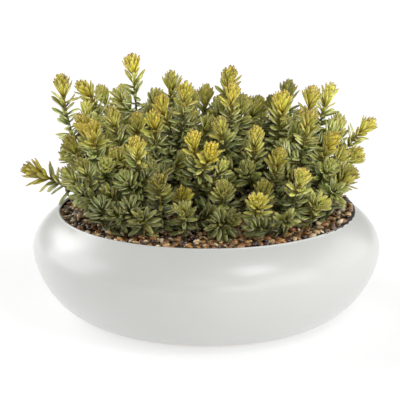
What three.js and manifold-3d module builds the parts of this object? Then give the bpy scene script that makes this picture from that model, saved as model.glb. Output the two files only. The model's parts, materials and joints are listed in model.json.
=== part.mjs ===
// Potted bush of upright leafy succulent stems in a low round bowl, with a gravel top dressing.
// Millimetres, +Z up, origin at the middle of the flat foot that the bowl stands on.
// The front of the plant, as it is usually seen, faces -Y.
import * as THREE from 'three';
import { mergeVertices } from 'three/addons/utils/BufferGeometryUtils.js';
import Module from 'manifold-3d';

const wasm = await Module();
wasm.setup();

// Bowl
const POT_RADIUS = 152.5;
const POT_HEIGHT = 92;
const BELLY_HEIGHT = 59;
const RIM_RADIUS = 129;
const FOOT_RADIUS = 104;
const FOOT_HEIGHT = 1.5;
const LOWER_WALL_RADIUS = 106;
const LOWER_WALL_POWER = 1.65;
const SHOULDER_SEMI_HEIGHT = 59;
const WALL = 5;
const RIM_WALL = 2.2;
const FLOOR_THICKNESS = 7;
const POT_SIDES = 32;
const OUTER_STEPS = [5, 4];
const INNER_STEPS = [3, 3];

// Filling
const FIT_GAP = 0.3;
const SOIL_TOP = 80;
const GRAVEL_EDGE = 84.5;
const GRAVEL_CROWN = 91;
const GRAVEL_RADIUS = 126;
const HEAP_START = 96;
const HEAP_LEFT = 1.2;
const HEAP_RIGHT = 6;
const STONE_PITCH = 22;
const STONE_RISE = [2.6, 5];
const STONE_SHIFT = 1.8;

// Leafy stems
const STEM_RADIUS = 1.5;
const LEAFY_RADIUS = 2.2;
const HEAD_RADII = [2.4, 3.2, 3.2, 2.6, 1.6];
const STEM_SIDES = 4;
const STEM_FOOT = 66;
const STEM_CLEAR = 96;
const BEND_ROOM = 4;
const BEND_HEIGHT = 0.55;
const NODDING_BEND_HEIGHT = 0.95;
const NODDING_LEAN = 0.25;
const HOLE_RADIUS = 2.2;
const LEAF_LENGTH = 12.5;
const LEAF_WIDTH = 4.8;
const LEAF_WIDEST_AT = 0.52;
const LEAF_PITCH = 2.7;
const LEAF_GAP = 0.25;
const LEAF_CURL = 0.07;
const HEAD_CROWN = 7;
const HEAD_TWIST = 0.42;
const HEAD_RISE = [34, 47, 60, 73];
const HEAD_FULL_LEAVES = [true, true, false, false];
const TALL_HEAD = 150;
const WHORL_HEIGHT = 2.2;
const WHORL_PITCH = 17;
const WHORL_LEAF_SHARE = 0.9;
const GRAVEL_CLEARANCE = 5.5;

// The tops of the heads, as [x, y, z, lean]: a lean near 0 bends the stem only near its end, so that
// it nods, a lean of 1 sets it off at a slant from the gravel, and more than 1 brings its end upright.
// A stem's first head ends the stem itself, and the others end its side shoots.
const STEMS = [
  // back row of the front view, from left to right
  { name: 'stem_left_tall', root: [-96, 4], heads: [[-126, 10, 209, 1.8]] },
  { name: 'stem_left_nodding', root: [-84, 26], heads: [[-115, 24, 201, 0.15]] },
  { name: 'stem_left_forked', root: [-74, 46], heads: [[-96, 42, 195, 0.7], [-76, 60, 192, 0.6]] },
  { name: 'stem_tallest', root: [-58, 14], heads: [[-65, 15, 227, 0.7], [-60, -6, 180, 0.6]] },
  { name: 'stem_back_left', root: [-32, 48], heads: [[-31, 50, 206, 0.7]] },
  { name: 'stem_centre_forked', root: [-26, 6], heads: [[-17, 0, 205, 0.7], [-41, 4, 194, 0.1]] },
  { name: 'stem_centre_back', root: [-4, 38], heads: [[0, 44, 195, 0.7], [12, 30, 188, 0.5]] },
  {
    name: 'stem_right_of_centre',
    root: [10, 30],
    heads: [[22, 30, 213, 0.7], [46, 32, 186, 0.6], [34, 16, 190, 0.5]],
  },
  { name: 'stem_golden_centre', root: [20, -4], heads: [[22, -3, 206, 0.7], [11, -22, 180, 0.5]] },
  { name: 'stem_back_right', root: [66, 44], heads: [[73, 45, 198, 0.7], [57, 26, 188, 0.5]] },
  { name: 'stem_right_middle', root: [60, 8], heads: [[67, 4, 196, 0.7]] },
  { name: 'stem_right_tall', root: [82, 16], heads: [[93, 18, 198, 0.8]] },
  { name: 'stem_right_back', root: [90, 40], heads: [[111, 42, 195, 0.8]] },
  {
    name: 'stem_right_leaning',
    root: [102, 20],
    heads: [[148, 20, 168, 0.5], [117, 36, 172, 0.6], [134, 4, 147, 0.4]],
  },
  // middle row
  { name: 'stem_left_golden', root: [-84, -24], heads: [[-110, -24, 182, 0.7], [-96, -40, 180, 0.5]] },
  { name: 'stem_left_inner', root: [-68, -10], heads: [[-83, -16, 187, 0.7]] },
  { name: 'stem_inner_golden', root: [-42, -20], heads: [[-45, -25, 186, 0.7]] },
  { name: 'stem_left_facing', root: [-56, -44], heads: [[-61, -62, 169, 0.2]] },
  { name: 'stem_left_low_golden', root: [-100, -8], heads: [[-123, -8, 159, 0.5]] },
  { name: 'stem_centre_facing', root: [-8, -34], heads: [[-12, -46, 172, 0.2], [6, -60, 165, 0.2]] },
  { name: 'stem_right_inner', root: [38, -22], heads: [[43, -26, 172, 0.7]] },
  { name: 'stem_right_facing', root: [56, -38], heads: [[63, -52, 158, 0.3]] },
  { name: 'stem_right_shoulder', root: [78, -12], heads: [[91, -12, 184, 0.7]] },
  { name: 'stem_right_side', root: [94, -12], heads: [[114, -22, 165, 0.2], [122, -2, 150, 0.3]] },
  // front and low shoots
  { name: 'stem_left_front', root: [-92, -42], heads: [[-110, -52, 149, 0.5], [-97, -66, 120, 0.2]] },
  { name: 'stem_left_reaching', root: [-92, -22], heads: [[-158, -16, 132, 0.8]] },
  { name: 'stem_front_left', root: [-38, -68], heads: [[-40, -86, 142, 0.3]] },
  { name: 'stem_front_low_golden', root: [-22, -58], heads: [[-20, -74, 128, 0.3]] },
  { name: 'stem_front_facing', root: [-18, -86], heads: [[-20, -106, 114, 0.1]] },
  { name: 'stem_front_centre', root: [14, -60], heads: [[15, -76, 133, 0.3]] },
  { name: 'stem_front_right', root: [42, -78], heads: [[44, -97, 126, 0.3]] },
  { name: 'stem_front_right_inner', root: [46, -58], heads: [[50, -68, 134, 0.5]] },
  { name: 'stem_front_right_golden', root: [72, -62], heads: [[83, -80, 146, 0.4]] },
  { name: 'stem_right_front', root: [102, -34], heads: [[131, -28, 133, 0.3]] },
  { name: 'stem_right_drooping', root: [88, -60], heads: [[102, -78, 115, 0.1]] },
  { name: 'stem_front_right_low', root: [64, -86], heads: [[71, -103, 108, 0.2]] },
  { name: 'stem_front_low', root: [14, -90], heads: [[26, -107, 110, 0.2], [2, -108, 108, 0.2]] },
  { name: 'stem_front_low_left', root: [-52, -86], heads: [[-54, -104, 110, 0.2]] },
  { name: 'stem_left_low', root: [-72, -72], heads: [[-80, -88, 110, 0.3]] },
  // rear of the bush
  { name: 'stem_rear_left_end', root: [-98, 50], heads: [[-114, 58, 160, 0.6], [-130, 38, 138, 0.2]] },
  { name: 'stem_rear_left', root: [-70, 76], heads: [[-76, 86, 172, 0.6], [-90, 94, 136, 0.3]] },
  { name: 'stem_rear_left_inner', root: [-42, 76], heads: [[-46, 82, 184, 0.7], [-54, 106, 146, 0.3]] },
  { name: 'stem_rear_centre_left', root: [-12, 74], heads: [[-12, 84, 182, 0.7], [-20, 112, 148, 0.3]] },
  { name: 'stem_rear_centre', root: [18, 66], heads: [[20, 74, 188, 0.7], [14, 106, 144, 0.3]] },
  { name: 'stem_rear_right_inner', root: [46, 72], heads: [[52, 82, 180, 0.7], [48, 108, 144, 0.3]] },
  { name: 'stem_rear_right', root: [76, 70], heads: [[86, 80, 170, 0.6], [84, 102, 132, 0.3]] },
  { name: 'stem_rear_right_end', root: [102, 50], heads: [[116, 62, 152, 0.6], [132, 50, 128, 0.2]] },
  { name: 'stem_rear_low_left', root: [-30, 98], heads: [[-34, 118, 118, 0.2]] },
  { name: 'stem_rear_low_right', root: [30, 98], heads: [[32, 120, 120, 0.2]] },
];

// Finishes
const CERAMIC = new THREE.MeshStandardMaterial({ color: 0xd9dad6, roughness: 0.28, metalness: 0 });
const SOIL = new THREE.MeshStandardMaterial({ color: 0x2a211b, roughness: 1, metalness: 0 });
const STONES = new THREE.MeshStandardMaterial({ color: 0x8a5f3c, roughness: 0.35, metalness: 0 });
const GOLDEN = new THREE.MeshStandardMaterial({ color: 0xb0a53e, roughness: 0.5, metalness: 0 });
const GREEN = new THREE.MeshStandardMaterial({ color: 0x76854a, roughness: 0.55, metalness: 0 });

// Seeded random numbers, so that every build is the same
function randomSource(seed) {
  let state = seed;
  return function next() {
    state = (state + 0x6d2b79f5) | 0;
    let t = Math.imul(state ^ (state >>> 15), 1 | state);
    t = (t + Math.imul(t ^ (t >>> 7), 61 | t)) ^ t;
    return ((t ^ (t >>> 14)) >>> 0) / 4294967296;
  };
}

function between(random, low, high) {
  return low + (high - low) * random();
}

// A closed geometry becomes a solid once its shared corners are one and its flat slivers are gone
function toSolid(geometry) {
  const bare = geometry.clone();
  bare.deleteAttribute('normal');
  bare.deleteAttribute('uv');
  const merged = mergeVertices(bare, 1e-4);
  const index = merged.index.array;
  const triangles = [];
  for (let i = 0; i < index.length; i += 3) {
    const [a, b, c] = [index[i], index[i + 1], index[i + 2]];
    if (a !== b && b !== c && c !== a) triangles.push(a, b, c);
  }
  const mesh = new wasm.Mesh({
    numProp: 3,
    vertProperties: new Float32Array(merged.attributes.position.array),
    triVerts: new Uint32Array(triangles),
  });
  return new wasm.Manifold(mesh);
}

function indexedGeometry(positions, triangles) {
  const geometry = new THREE.BufferGeometry();
  geometry.setAttribute('position', new THREE.Float32BufferAttribute(positions, 3));
  geometry.setIndex(triangles);
  return geometry;
}

function toGeometry(solid) {
  const mesh = solid.getMesh();
  return indexedGeometry(Array.from(mesh.vertProperties), Array.from(mesh.triVerts));
}

// A profile of [radius, height] points turned about the Z axis
function turned(profile) {
  const points = profile.map(([radius, height]) => new THREE.Vector2(radius, height));
  const geometry = new THREE.LatheGeometry(points, POT_SIDES);
  geometry.rotateX(Math.PI / 2);
  return geometry;
}

// One side of the bowl's wall from foot to rim, moved inwards by an offset:
// a superellipse from the foot up to the belly, then an ellipse over the shoulder to the rim,
// where the wall thins to an edge
function wallProfile(offset, floor, [lowerSteps, shoulderSteps]) {
  const points = [];
  const belly = POT_RADIUS - offset;
  const start = LOWER_WALL_RADIUS - offset;
  const depth = BELLY_HEIGHT - floor;
  for (let i = 0; i < lowerSteps; i += 1) {
    const angle = (i / lowerSteps) * (Math.PI / 2);
    const radius = start + (belly - start) * Math.sin(angle) ** (2 / LOWER_WALL_POWER);
    const height = BELLY_HEIGHT - depth * Math.cos(angle) ** (2 / LOWER_WALL_POWER);
    points.push([radius, height]);
  }
  const rimShare = (POT_HEIGHT - BELLY_HEIGHT) / SHOULDER_SEMI_HEIGHT;
  const reach = (POT_RADIUS - RIM_RADIUS) / (1 - Math.sqrt(1 - rimShare ** 2));
  for (let i = 0; i <= shoulderSteps; i += 1) {
    const share = (i / shoulderSteps) * rimShare;
    const thinned = offset > 0 ? (WALL - RIM_WALL) * (i / shoulderSteps) ** 2 : 0;
    const radius = belly + thinned - reach * (1 - Math.sqrt(1 - share ** 2));
    points.push([radius, BELLY_HEIGHT + share * SHOULDER_SEMI_HEIGHT]);
  }
  return points;
}

function cutAt(profile, top) {
  const above = profile.findIndex(([, height]) => height > top);
  const [r0, z0] = profile[above - 1];
  const [r1, z1] = profile[above];
  const radius = r0 + ((r1 - r0) * (top - z0)) / (z1 - z0);
  return { radius, below: profile.slice(0, above), above: profile.slice(above) };
}

function makePot() {
  const outer = wallProfile(0, FOOT_HEIGHT, OUTER_STEPS);
  const inner = wallProfile(WALL, FLOOR_THICKNESS, INNER_STEPS).reverse();
  const foot = [[0, 0], [FOOT_RADIUS, 0], [FOOT_RADIUS, FOOT_HEIGHT]];
  return turned([...foot, ...outer, ...inner, [0, FLOOR_THICKNESS]]);
}

function soilHole([x, y], bottom, top) {
  const height = top - bottom;
  const hole = new THREE.CylinderGeometry(HOLE_RADIUS, HOLE_RADIUS, height, STEM_SIDES);
  hole.rotateX(Math.PI / 2);
  hole.translate(x, y, bottom + height / 2);
  return toSolid(hole);
}

function withHoles(solid, bottom, top) {
  return STEMS.reduce((body, stem) => body.subtract(soilHole(stem.root, bottom, top)), solid);
}

function makeSoil() {
  const wall = wallProfile(WALL + FIT_GAP, FLOOR_THICKNESS + FIT_GAP, INNER_STEPS);
  const { radius, below } = cutAt(wall, SOIL_TOP);
  const base = FLOOR_THICKNESS + FIT_GAP;
  const body = turned([[0, base], ...below, [radius, SOIL_TOP], [0, SOIL_TOP]]);
  return toGeometry(withHoles(toSolid(body), STEM_FOOT - FIT_GAP, POT_HEIGHT));
}

// The top dressing is mounded in the middle and heaped against the wall, more so on the right
function gravelHeight(x, y) {
  const reach = Math.hypot(x, y);
  const share = Math.min(1, reach / GRAVEL_RADIUS);
  const outward = THREE.MathUtils.clamp((reach - HEAP_START) / (GRAVEL_RADIUS - HEAP_START), 0, 1);
  const heap = THREE.MathUtils.lerp(HEAP_LEFT, HEAP_RIGHT, 0.5 + (0.5 * x) / POT_RADIUS);
  return GRAVEL_EDGE + (GRAVEL_CROWN - GRAVEL_EDGE) * (1 - share ** 2) + heap * outward;
}

// The top dressing is raised stone by stone: each cell of a honeycomb has a peak at a stone's
// middle and low corners between stones, all shifted a little from their places
function stoneField(random) {
  const positions = [];
  const triangles = [];
  const placed = new Map();
  const cornerReach = STONE_PITCH / Math.sqrt(3);
  function point(x, y, rise) {
    const key = `${Math.round(x * 4)},${Math.round(y * 4)}`;
    if (!placed.has(key)) {
      const px = x + between(random, -STONE_SHIFT, STONE_SHIFT);
      const py = y + between(random, -STONE_SHIFT, STONE_SHIFT);
      positions.push(px, py, gravelHeight(px, py) + rise);
      placed.set(key, positions.length / 3 - 1);
    }
    return placed.get(key);
  }
  const rows = Math.ceil((POT_RADIUS + STONE_PITCH) / (STONE_PITCH * Math.sin(Math.PI / 3)));
  const directed = new Map();
  for (let row = -rows; row <= rows; row += 1) {
    for (let column = -rows; column <= rows; column += 1) {
      const x = (column + (Math.abs(row) % 2) / 2) * STONE_PITCH;
      const y = row * STONE_PITCH * Math.sin(Math.PI / 3);
      if (Math.hypot(x, y) > POT_RADIUS) continue;
      const peak = point(x, y, between(random, ...STONE_RISE));
      const corners = [];
      for (let k = 0; k < 6; k += 1) {
        const angle = ((k + 0.5) * Math.PI) / 3;
        corners.push(point(x + cornerReach * Math.cos(angle), y + cornerReach * Math.sin(angle), 0));
      }
      for (let k = 0; k < 6; k += 1) {
        const [a, b] = [corners[k], corners[(k + 1) % 6]];
        triangles.push(peak, a, b);
        directed.set(`${a},${b}`, [a, b]);
      }
    }
  }
  // the rim of the field is drawn down to one point far below, which closes it
  const root = positions.length / 3;
  positions.push(0, 0, -POT_RADIUS);
  for (const [a, b] of directed.values()) {
    if (!directed.has(`${b},${a}`)) triangles.push(b, a, root);
  }
  return indexedGeometry(positions, triangles);
}

function makeGravel() {
  const base = SOIL_TOP + FIT_GAP;
  const { radius, above } = cutAt(wallProfile(WALL + FIT_GAP, FLOOR_THICKNESS, INNER_STEPS), base);
  const filling = turned([[0, base], [radius, base], ...above, [0, POT_HEIGHT + WALL]]);
  const stones = toSolid(stoneField(randomSource(11)));
  return toGeometry(withHoles(toSolid(filling).intersect(stones), STEM_FOOT, STEM_CLEAR + WALL));
}

// The line of a shoot: straight up out of the soil, then one bend to the top of its head
function mainLine(root, [x, y, z, lean]) {
  const foot = new THREE.Vector3(root[0], root[1], STEM_FOOT);
  const collar = new THREE.Vector3(root[0], root[1], STEM_CLEAR);
  const top = new THREE.Vector3(x, y, z);
  const bend = new THREE.Vector3().lerpVectors(collar, top, 0.5 * lean);
  const nod = Math.max(0, 1 - lean / NODDING_LEAN);
  bend.z = STEM_CLEAR + (z - STEM_CLEAR) * THREE.MathUtils.lerp(BEND_HEIGHT, NODDING_BEND_HEIGHT, nod);
  const end = top.clone().sub(bend).setLength(HEAD_CROWN).negate().add(top);
  const line = new THREE.CurvePath();
  line.add(new THREE.LineCurve3(foot, collar));
  line.add(new THREE.QuadraticBezierCurve3(collar, bend, end));
  return line;
}

// A side shoot leaves its stem below the level of its own head, outwards and then up
function sideLine(parent, [x, y, z, lean]) {
  const top = new THREE.Vector3(x, y, z);
  const forkHeight = STEM_CLEAR + (z - STEM_CLEAR) * 0.45;
  const samples = parent.getSpacedPoints(200);
  const fork = samples.find((sample) => sample.z > forkHeight) ?? samples[120];
  const bend = new THREE.Vector3().lerpVectors(fork, top, 0.5 + 0.4 * lean);
  bend.z = fork.z + (z - fork.z) * 0.35;
  const end = top.clone().sub(bend).setLength(HEAD_CROWN).negate().add(top);
  const line = new THREE.CurvePath();
  line.add(new THREE.QuadraticBezierCurve3(fork, bend, end));
  return line;
}

// Stations up a shoot: whorls of leaves that stand apart on the stem, and close rows in the head
function stationsOf(line, isMain, random) {
  const length = line.getLength();
  const top = line.getPoint(1);
  const rows = top.z + HEAD_CROWN > TALL_HEAD ? 4 : 3;
  const headStart = length - rows * LEAF_PITCH;
  const stations = [{ at: 0, turn: 0, radius: STEM_RADIUS }];
  const straight = isMain ? Math.min(STEM_CLEAR - STEM_FOOT, headStart - BEND_ROOM) : BEND_ROOM;
  if (isMain) stations.push({ at: straight, turn: 0, radius: STEM_RADIUS });
  const free = headStart - straight - BEND_ROOM - 2 * WHORL_HEIGHT;
  const whorls = Math.max(0, Math.round(free / WHORL_PITCH));
  let turn = between(random, -0.5, 0.5);
  for (let i = 0; i < whorls; i += 1) {
    const share = (i + between(random, 0.3, 0.7)) / whorls;
    const at = straight + BEND_ROOM + share * free;
    stations.push({ at, leaves: 'whorl', turn, radius: LEAFY_RADIUS, isFull: true });
    stations.push({ at: at + WHORL_HEIGHT, turn, radius: LEAFY_RADIUS });
    turn += between(random, 0.3, 0.7);
  }
  for (let i = 0; i <= rows; i += 1) {
    const row = i + HEAD_RISE.length - rows;
    stations.push({
      at: headStart + i * LEAF_PITCH,
      leaves: i < rows ? 'head' : null,
      turn,
      radius: HEAD_RADII[row],
      rise: HEAD_RISE[row],
      isFull: HEAD_FULL_LEAVES[row] || i === 0,
    });
    turn += HEAD_TWIST;
  }
  return { stations, length };
}

function ringFrame(line, length, station) {
  const share = Math.min(1, Math.max(0, station.at / length));
  const centre = line.getPointAt(share);
  const along = line.getTangentAt(share);
  const side = new THREE.Vector3(0, 1, 0).cross(along).normalize();
  const front = along.clone().cross(side).normalize();
  const corners = [];
  for (let k = 0; k < STEM_SIDES; k += 1) {
    const angle = station.turn + (k * 2 * Math.PI) / STEM_SIDES;
    const radial = side.clone().multiplyScalar(Math.cos(angle)).addScaledVector(front, Math.sin(angle));
    corners.push(centre.clone().addScaledVector(radial, station.radius));
  }
  return { centre, along, corners };
}

// A leaf, as its two widest corners and its tip, growing from one side of the stem's skin
function shapeLeaf(base, centre, along, aim) {
  const out = base.clone().sub(centre);
  out.addScaledVector(along, -out.dot(along)).normalize();
  out.applyAxisAngle(along, aim.swing);
  const across = along.clone().cross(out).normalize();
  const direction = out.clone().multiplyScalar(Math.cos(aim.rise)).addScaledVector(along, Math.sin(aim.rise));
  const upper = direction.clone().cross(across).negate();
  const middle = base.clone().addScaledVector(direction, aim.length * LEAF_WIDEST_AT);
  const tip = base.clone().addScaledVector(direction, aim.length).addScaledVector(upper, -aim.length * LEAF_CURL);
  const half = aim.width / 2;
  return {
    base,
    tip,
    half,
    left: middle.clone().addScaledVector(across, -half),
    right: middle.clone().addScaledVector(across, half),
  };
}

// Half the width of a leaf or stem at a share of its length
function girth(line, share) {
  if (line.isStem) return LEAFY_RADIUS;
  if (share < LEAF_WIDEST_AT) return line.half * (0.6 + (0.4 * share) / LEAF_WIDEST_AT);
  return (line.half * (1 - share)) / (1 - LEAF_WIDEST_AT);
}

// The gap left between two straight lines once their half widths are taken off
function clearance(p, q) {
  const d1 = p.tip.clone().sub(p.base);
  const d2 = q.tip.clone().sub(q.base);
  const r = p.base.clone().sub(q.base);
  const [a, e, f] = [d1.dot(d1), d2.dot(d2), d2.dot(r)];
  const [b, c] = [d1.dot(d2), d1.dot(r)];
  const spread = a * e - b * b;
  let s = spread > 1e-9 ? THREE.MathUtils.clamp((b * f - c * e) / spread, 0, 1) : 0;
  const t = THREE.MathUtils.clamp((b * s + f) / e, 0, 1);
  s = THREE.MathUtils.clamp((b * t - c) / a, 0, 1);
  const gap = p.base.clone().addScaledVector(d1, s).distanceTo(q.base.clone().addScaledVector(d2, t));
  return gap - girth(p, s) - girth(q, t);
}

function isFree(leaf, obstacles, owner) {
  for (const point of [leaf.tip, leaf.left, leaf.right]) {
    if (point.z < gravelHeight(point.x, point.y) + GRAVEL_CLEARANCE) return false;
    if (Math.hypot(point.x, point.y) > RIM_RADIUS - 2 * WALL && point.z < POT_HEIGHT + 4) return false;
  }
  const reach = 3 * LEAF_LENGTH;
  return obstacles.every((other) => {
    if (other.base.distanceTo(leaf.base) > reach) return true;
    const nearby = other.isStem ? LEAF_LENGTH : owner.ignore;
    if (other.shoot === owner.shoot && Math.abs(other.at - owner.at) < nearby) return true;
    return clearance(leaf, other) > LEAF_GAP;
  });
}

// Only leaves that point away from the middle of the bush need their full shape
function facesOut({ base, tip }) {
  return base.x * (tip.x - base.x) + base.y * (tip.y - base.y) > -LEAF_LENGTH;
}

function leafAim(kind, rise, random) {
  if (kind === 'head') {
    return {
      rise: THREE.MathUtils.degToRad(rise + between(random, -3, 3)),
      swing: between(random, -0.12, 0.12),
      length: LEAF_LENGTH * between(random, 0.92, 1.05),
      width: LEAF_WIDTH * (rise > 70 ? 0.75 : 1),
    };
  }
  return {
    rise: THREE.MathUtils.degToRad(between(random, 0, 45)),
    swing: between(random, -0.4, 0.4),
    length: LEAF_LENGTH * between(random, 1, 1.15),
    width: LEAF_WIDTH * between(random, 1, 1.15),
  };
}

// A leaf that would cross another is bent clear of it, or left out if it can't be
function placeLeaf(base, frame, station, owner, obstacles, random) {
  const tries = 7;
  for (let attempt = 0; attempt < tries; attempt += 1) {
    const aim = leafAim(station.leaves, station.rise, random);
    const spread = attempt / tries;
    if (attempt > 0) {
      aim.swing += between(random, -0.5, 0.5) * spread;
      aim.length *= 1 - 0.3 * spread;
      if (station.leaves === 'whorl') aim.rise += THREE.MathUtils.degToRad(between(random, -15, 30)) * spread;
    }
    const leaf = shapeLeaf(base, frame.centre, frame.along, aim);
    if (isFree(leaf, obstacles, owner)) return { ...leaf, ...owner };
  }
  return null;
}

// The skin of a shoot: rings of corners joined side by side, where a leaf grows out of a side
function growShoot(shoot, obstacles, random) {
  const { line, stations, length } = shoot;
  const positions = [];
  const triangles = [];
  const add = (point) => positions.push(point.x, point.y, point.z) / 3 - 1;
  const frames = stations.map((station) => ringFrame(line, length, station));
  const rings = frames.map((frame) => frame.corners.map(add));
  triangles.push(rings[0][0], rings[0][3], rings[0][2], rings[0][0], rings[0][2], rings[0][1]);
  for (let i = 0; i + 1 < stations.length; i += 1) {
    for (let k = 0; k < STEM_SIDES; k += 1) {
      const next = (k + 1) % STEM_SIDES;
      const [a, b, c, d] = [rings[i][k], rings[i][next], rings[i + 1][next], rings[i + 1][k]];
      let leaf = null;
      const wanted = stations[i].leaves === 'head' || random() < WHORL_LEAF_SHARE;
      if (stations[i].leaves && wanted) {
        const base = new THREE.Vector3();
        for (const corner of [frames[i].corners[k], frames[i].corners[next]]) base.add(corner);
        for (const corner of [frames[i + 1].corners[k], frames[i + 1].corners[next]]) base.add(corner);
        base.divideScalar(4);
        const centre = new THREE.Vector3().lerpVectors(frames[i].centre, frames[i + 1].centre, 0.5);
        const owner = { shoot, at: stations[i].at, ignore: stations[i].leaves === 'head' ? 5 * LEAF_PITCH : 3 };
        leaf = placeLeaf(base, { centre, along: frames[i].along }, stations[i], owner, obstacles, random);
      }
      if (leaf) {
        obstacles.push(leaf);
        const tip = add(leaf.tip);
        triangles.push(a, b, tip, c, d, tip);
        if (stations[i].isFull && facesOut(leaf)) {
          const [left, right] = [add(leaf.left), add(leaf.right)];
          triangles.push(d, a, left, a, tip, left, tip, d, left);
          triangles.push(b, c, right, c, tip, right, tip, b, right);
        } else {
          triangles.push(b, c, tip, d, a, tip);
        }
      } else {
        triangles.push(a, b, c, a, c, d);
      }
    }
  }
  const last = rings.length - 1;
  const bud = add(frames[last].centre.clone().addScaledVector(frames[last].along, HEAD_CROWN));
  for (let k = 0; k < STEM_SIDES; k += 1) {
    triangles.push(rings[last][k], rings[last][(k + 1) % STEM_SIDES], bud);
  }
  return indexedGeometry(positions, triangles);
}

// Every shoot's line is laid out first, so that leaves keep clear of all the stems
function layOutShoots(random) {
  const shoots = [];
  for (const stem of STEMS) {
    const main = mainLine(stem.root, stem.heads[0]);
    stem.heads.forEach((head, order) => {
      const line = order === 0 ? main : sideLine(main, head);
      shoots.push({ stem, line, ...stationsOf(line, order === 0, random) });
    });
  }
  return shoots;
}

function stemObstacles(shoots) {
  const obstacles = [];
  for (const shoot of shoots) {
    const steps = Math.ceil(shoot.length / 8);
    for (let i = 0; i < steps; i += 1) {
      const base = shoot.line.getPointAt(i / steps);
      const tip = shoot.line.getPointAt((i + 1) / steps);
      const at = ((i + 0.5) / steps) * shoot.length;
      obstacles.push({ base, tip, isStem: true, shoot, at });
    }
  }
  return obstacles;
}

function makeStems() {
  const random = randomSource(2027);
  const shoots = layOutShoots(random);
  const obstacles = stemObstacles(shoots);
  const grown = new Map();
  for (const shoot of shoots) {
    const geometry = growShoot(shoot, obstacles, random);
    const before = grown.get(shoot.stem.name);
    grown.set(shoot.stem.name, before ? toGeometry(toSolid(before).add(toSolid(geometry))) : geometry);
  }
  return grown;
}

function named(name, geometry, material) {
  const mesh = new THREE.Mesh(geometry, material);
  mesh.name = name;
  return mesh;
}

const plant = new THREE.Group();
plant.add(named('pot', makePot(), CERAMIC));
plant.add(named('soil', makeSoil(), SOIL));
plant.add(named('gravel', makeGravel(), STONES));
for (const [name, geometry] of makeStems()) {
  const isGolden = name.includes('golden') || name.includes('tall') || name.includes('facing');
  plant.add(named(name, geometry, isGolden ? GOLDEN : GREEN));
}

export default plant;
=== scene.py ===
"""A potted bush of leafy succulent stems in a low white bowl, dressed in pea gravel.

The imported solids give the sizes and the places. This script replaces the bowl, the gravel and each leafy
stem with finely modelled pieces, gives every surface its finish, and lights the plant in a pale studio.
Lengths are in metres. The tables of places, and sizes named with mm, are in millimetres.
"""

import json
import logging
import math
from collections.abc import Callable
from dataclasses import dataclass, field
from enum import Enum

import bpy
import numpy as np
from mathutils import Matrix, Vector

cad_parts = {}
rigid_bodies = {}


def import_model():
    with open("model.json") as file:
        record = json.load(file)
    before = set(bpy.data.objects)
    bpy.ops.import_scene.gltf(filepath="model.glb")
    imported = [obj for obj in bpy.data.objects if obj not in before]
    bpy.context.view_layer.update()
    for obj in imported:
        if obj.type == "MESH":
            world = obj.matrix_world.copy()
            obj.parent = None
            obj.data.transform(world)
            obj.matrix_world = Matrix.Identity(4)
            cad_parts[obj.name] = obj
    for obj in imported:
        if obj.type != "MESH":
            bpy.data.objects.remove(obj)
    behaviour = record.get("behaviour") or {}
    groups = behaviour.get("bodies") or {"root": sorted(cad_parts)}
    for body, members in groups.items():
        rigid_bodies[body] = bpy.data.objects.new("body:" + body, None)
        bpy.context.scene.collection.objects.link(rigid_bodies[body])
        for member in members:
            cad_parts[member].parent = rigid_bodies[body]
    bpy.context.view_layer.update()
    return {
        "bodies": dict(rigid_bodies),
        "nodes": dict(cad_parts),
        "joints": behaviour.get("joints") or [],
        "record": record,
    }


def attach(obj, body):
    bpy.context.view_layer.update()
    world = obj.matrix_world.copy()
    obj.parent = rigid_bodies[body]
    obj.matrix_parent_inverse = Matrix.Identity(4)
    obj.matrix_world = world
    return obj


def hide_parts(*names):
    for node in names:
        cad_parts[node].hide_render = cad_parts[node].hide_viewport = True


Array = np.ndarray
Chance = np.random.Generator
Material = bpy.types.Material
Piece = bpy.types.Object
Socket = bpy.types.NodeSocket
Colour = tuple[float, float, float, float]
Head = tuple[float, float, float, float, float]
Noise = tuple[float, ...]
Point = tuple[float, float, float]
Shape = tuple[Array, Array]
Span = tuple[float, float]
Stops = tuple[tuple[float, Colour], ...]

LOG = logging.getLogger("potted_plant")
FRAME: dict = {}
MM = 0.001
FULL_TURN = 2 * math.pi
GOLDEN_ANGLE = math.pi * (3.0 - math.sqrt(5.0))
ORIGIN = (0.0, 0.0, 0.0)
UNIT = (0.0, 1.0)
MIDDLE = (0.3, 0.7)
ROOT_BODY = "root"

# Where fewer points will do, one in this many is used of those on a shoot's line
LINE_STRIDE = 4

# Sizes shared with the solids
POT_RADIUS = 152.5 * MM
POT_HEIGHT = 92.0 * MM
BELLY_HEIGHT = 59.0 * MM
RIM_RADIUS = 129.0 * MM
RIM_WALL = 2.2 * MM
FOOT_RADIUS = 104.0 * MM
FOOT_HEIGHT = 1.5 * MM
LOWER_WALL_RADIUS = 106.0 * MM
LOWER_WALL_POWER = 1.65
SHOULDER_SEMI_HEIGHT = 59.0 * MM
WALL = 5.0 * MM
FLOOR_THICKNESS = 7.0 * MM
GRAVEL_EDGE = 84.5 * MM
GRAVEL_CROWN = 91.0 * MM
GRAVEL_RADIUS = 126.0 * MM
STEM_FOOT = 66.0 * MM
STEM_CLEAR = 96.0 * MM
HEAD_CROWN = 10.7 * MM
HEAD_LENGTH = 8.8 * MM
LEAF_LENGTH = 13.0 * MM

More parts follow.
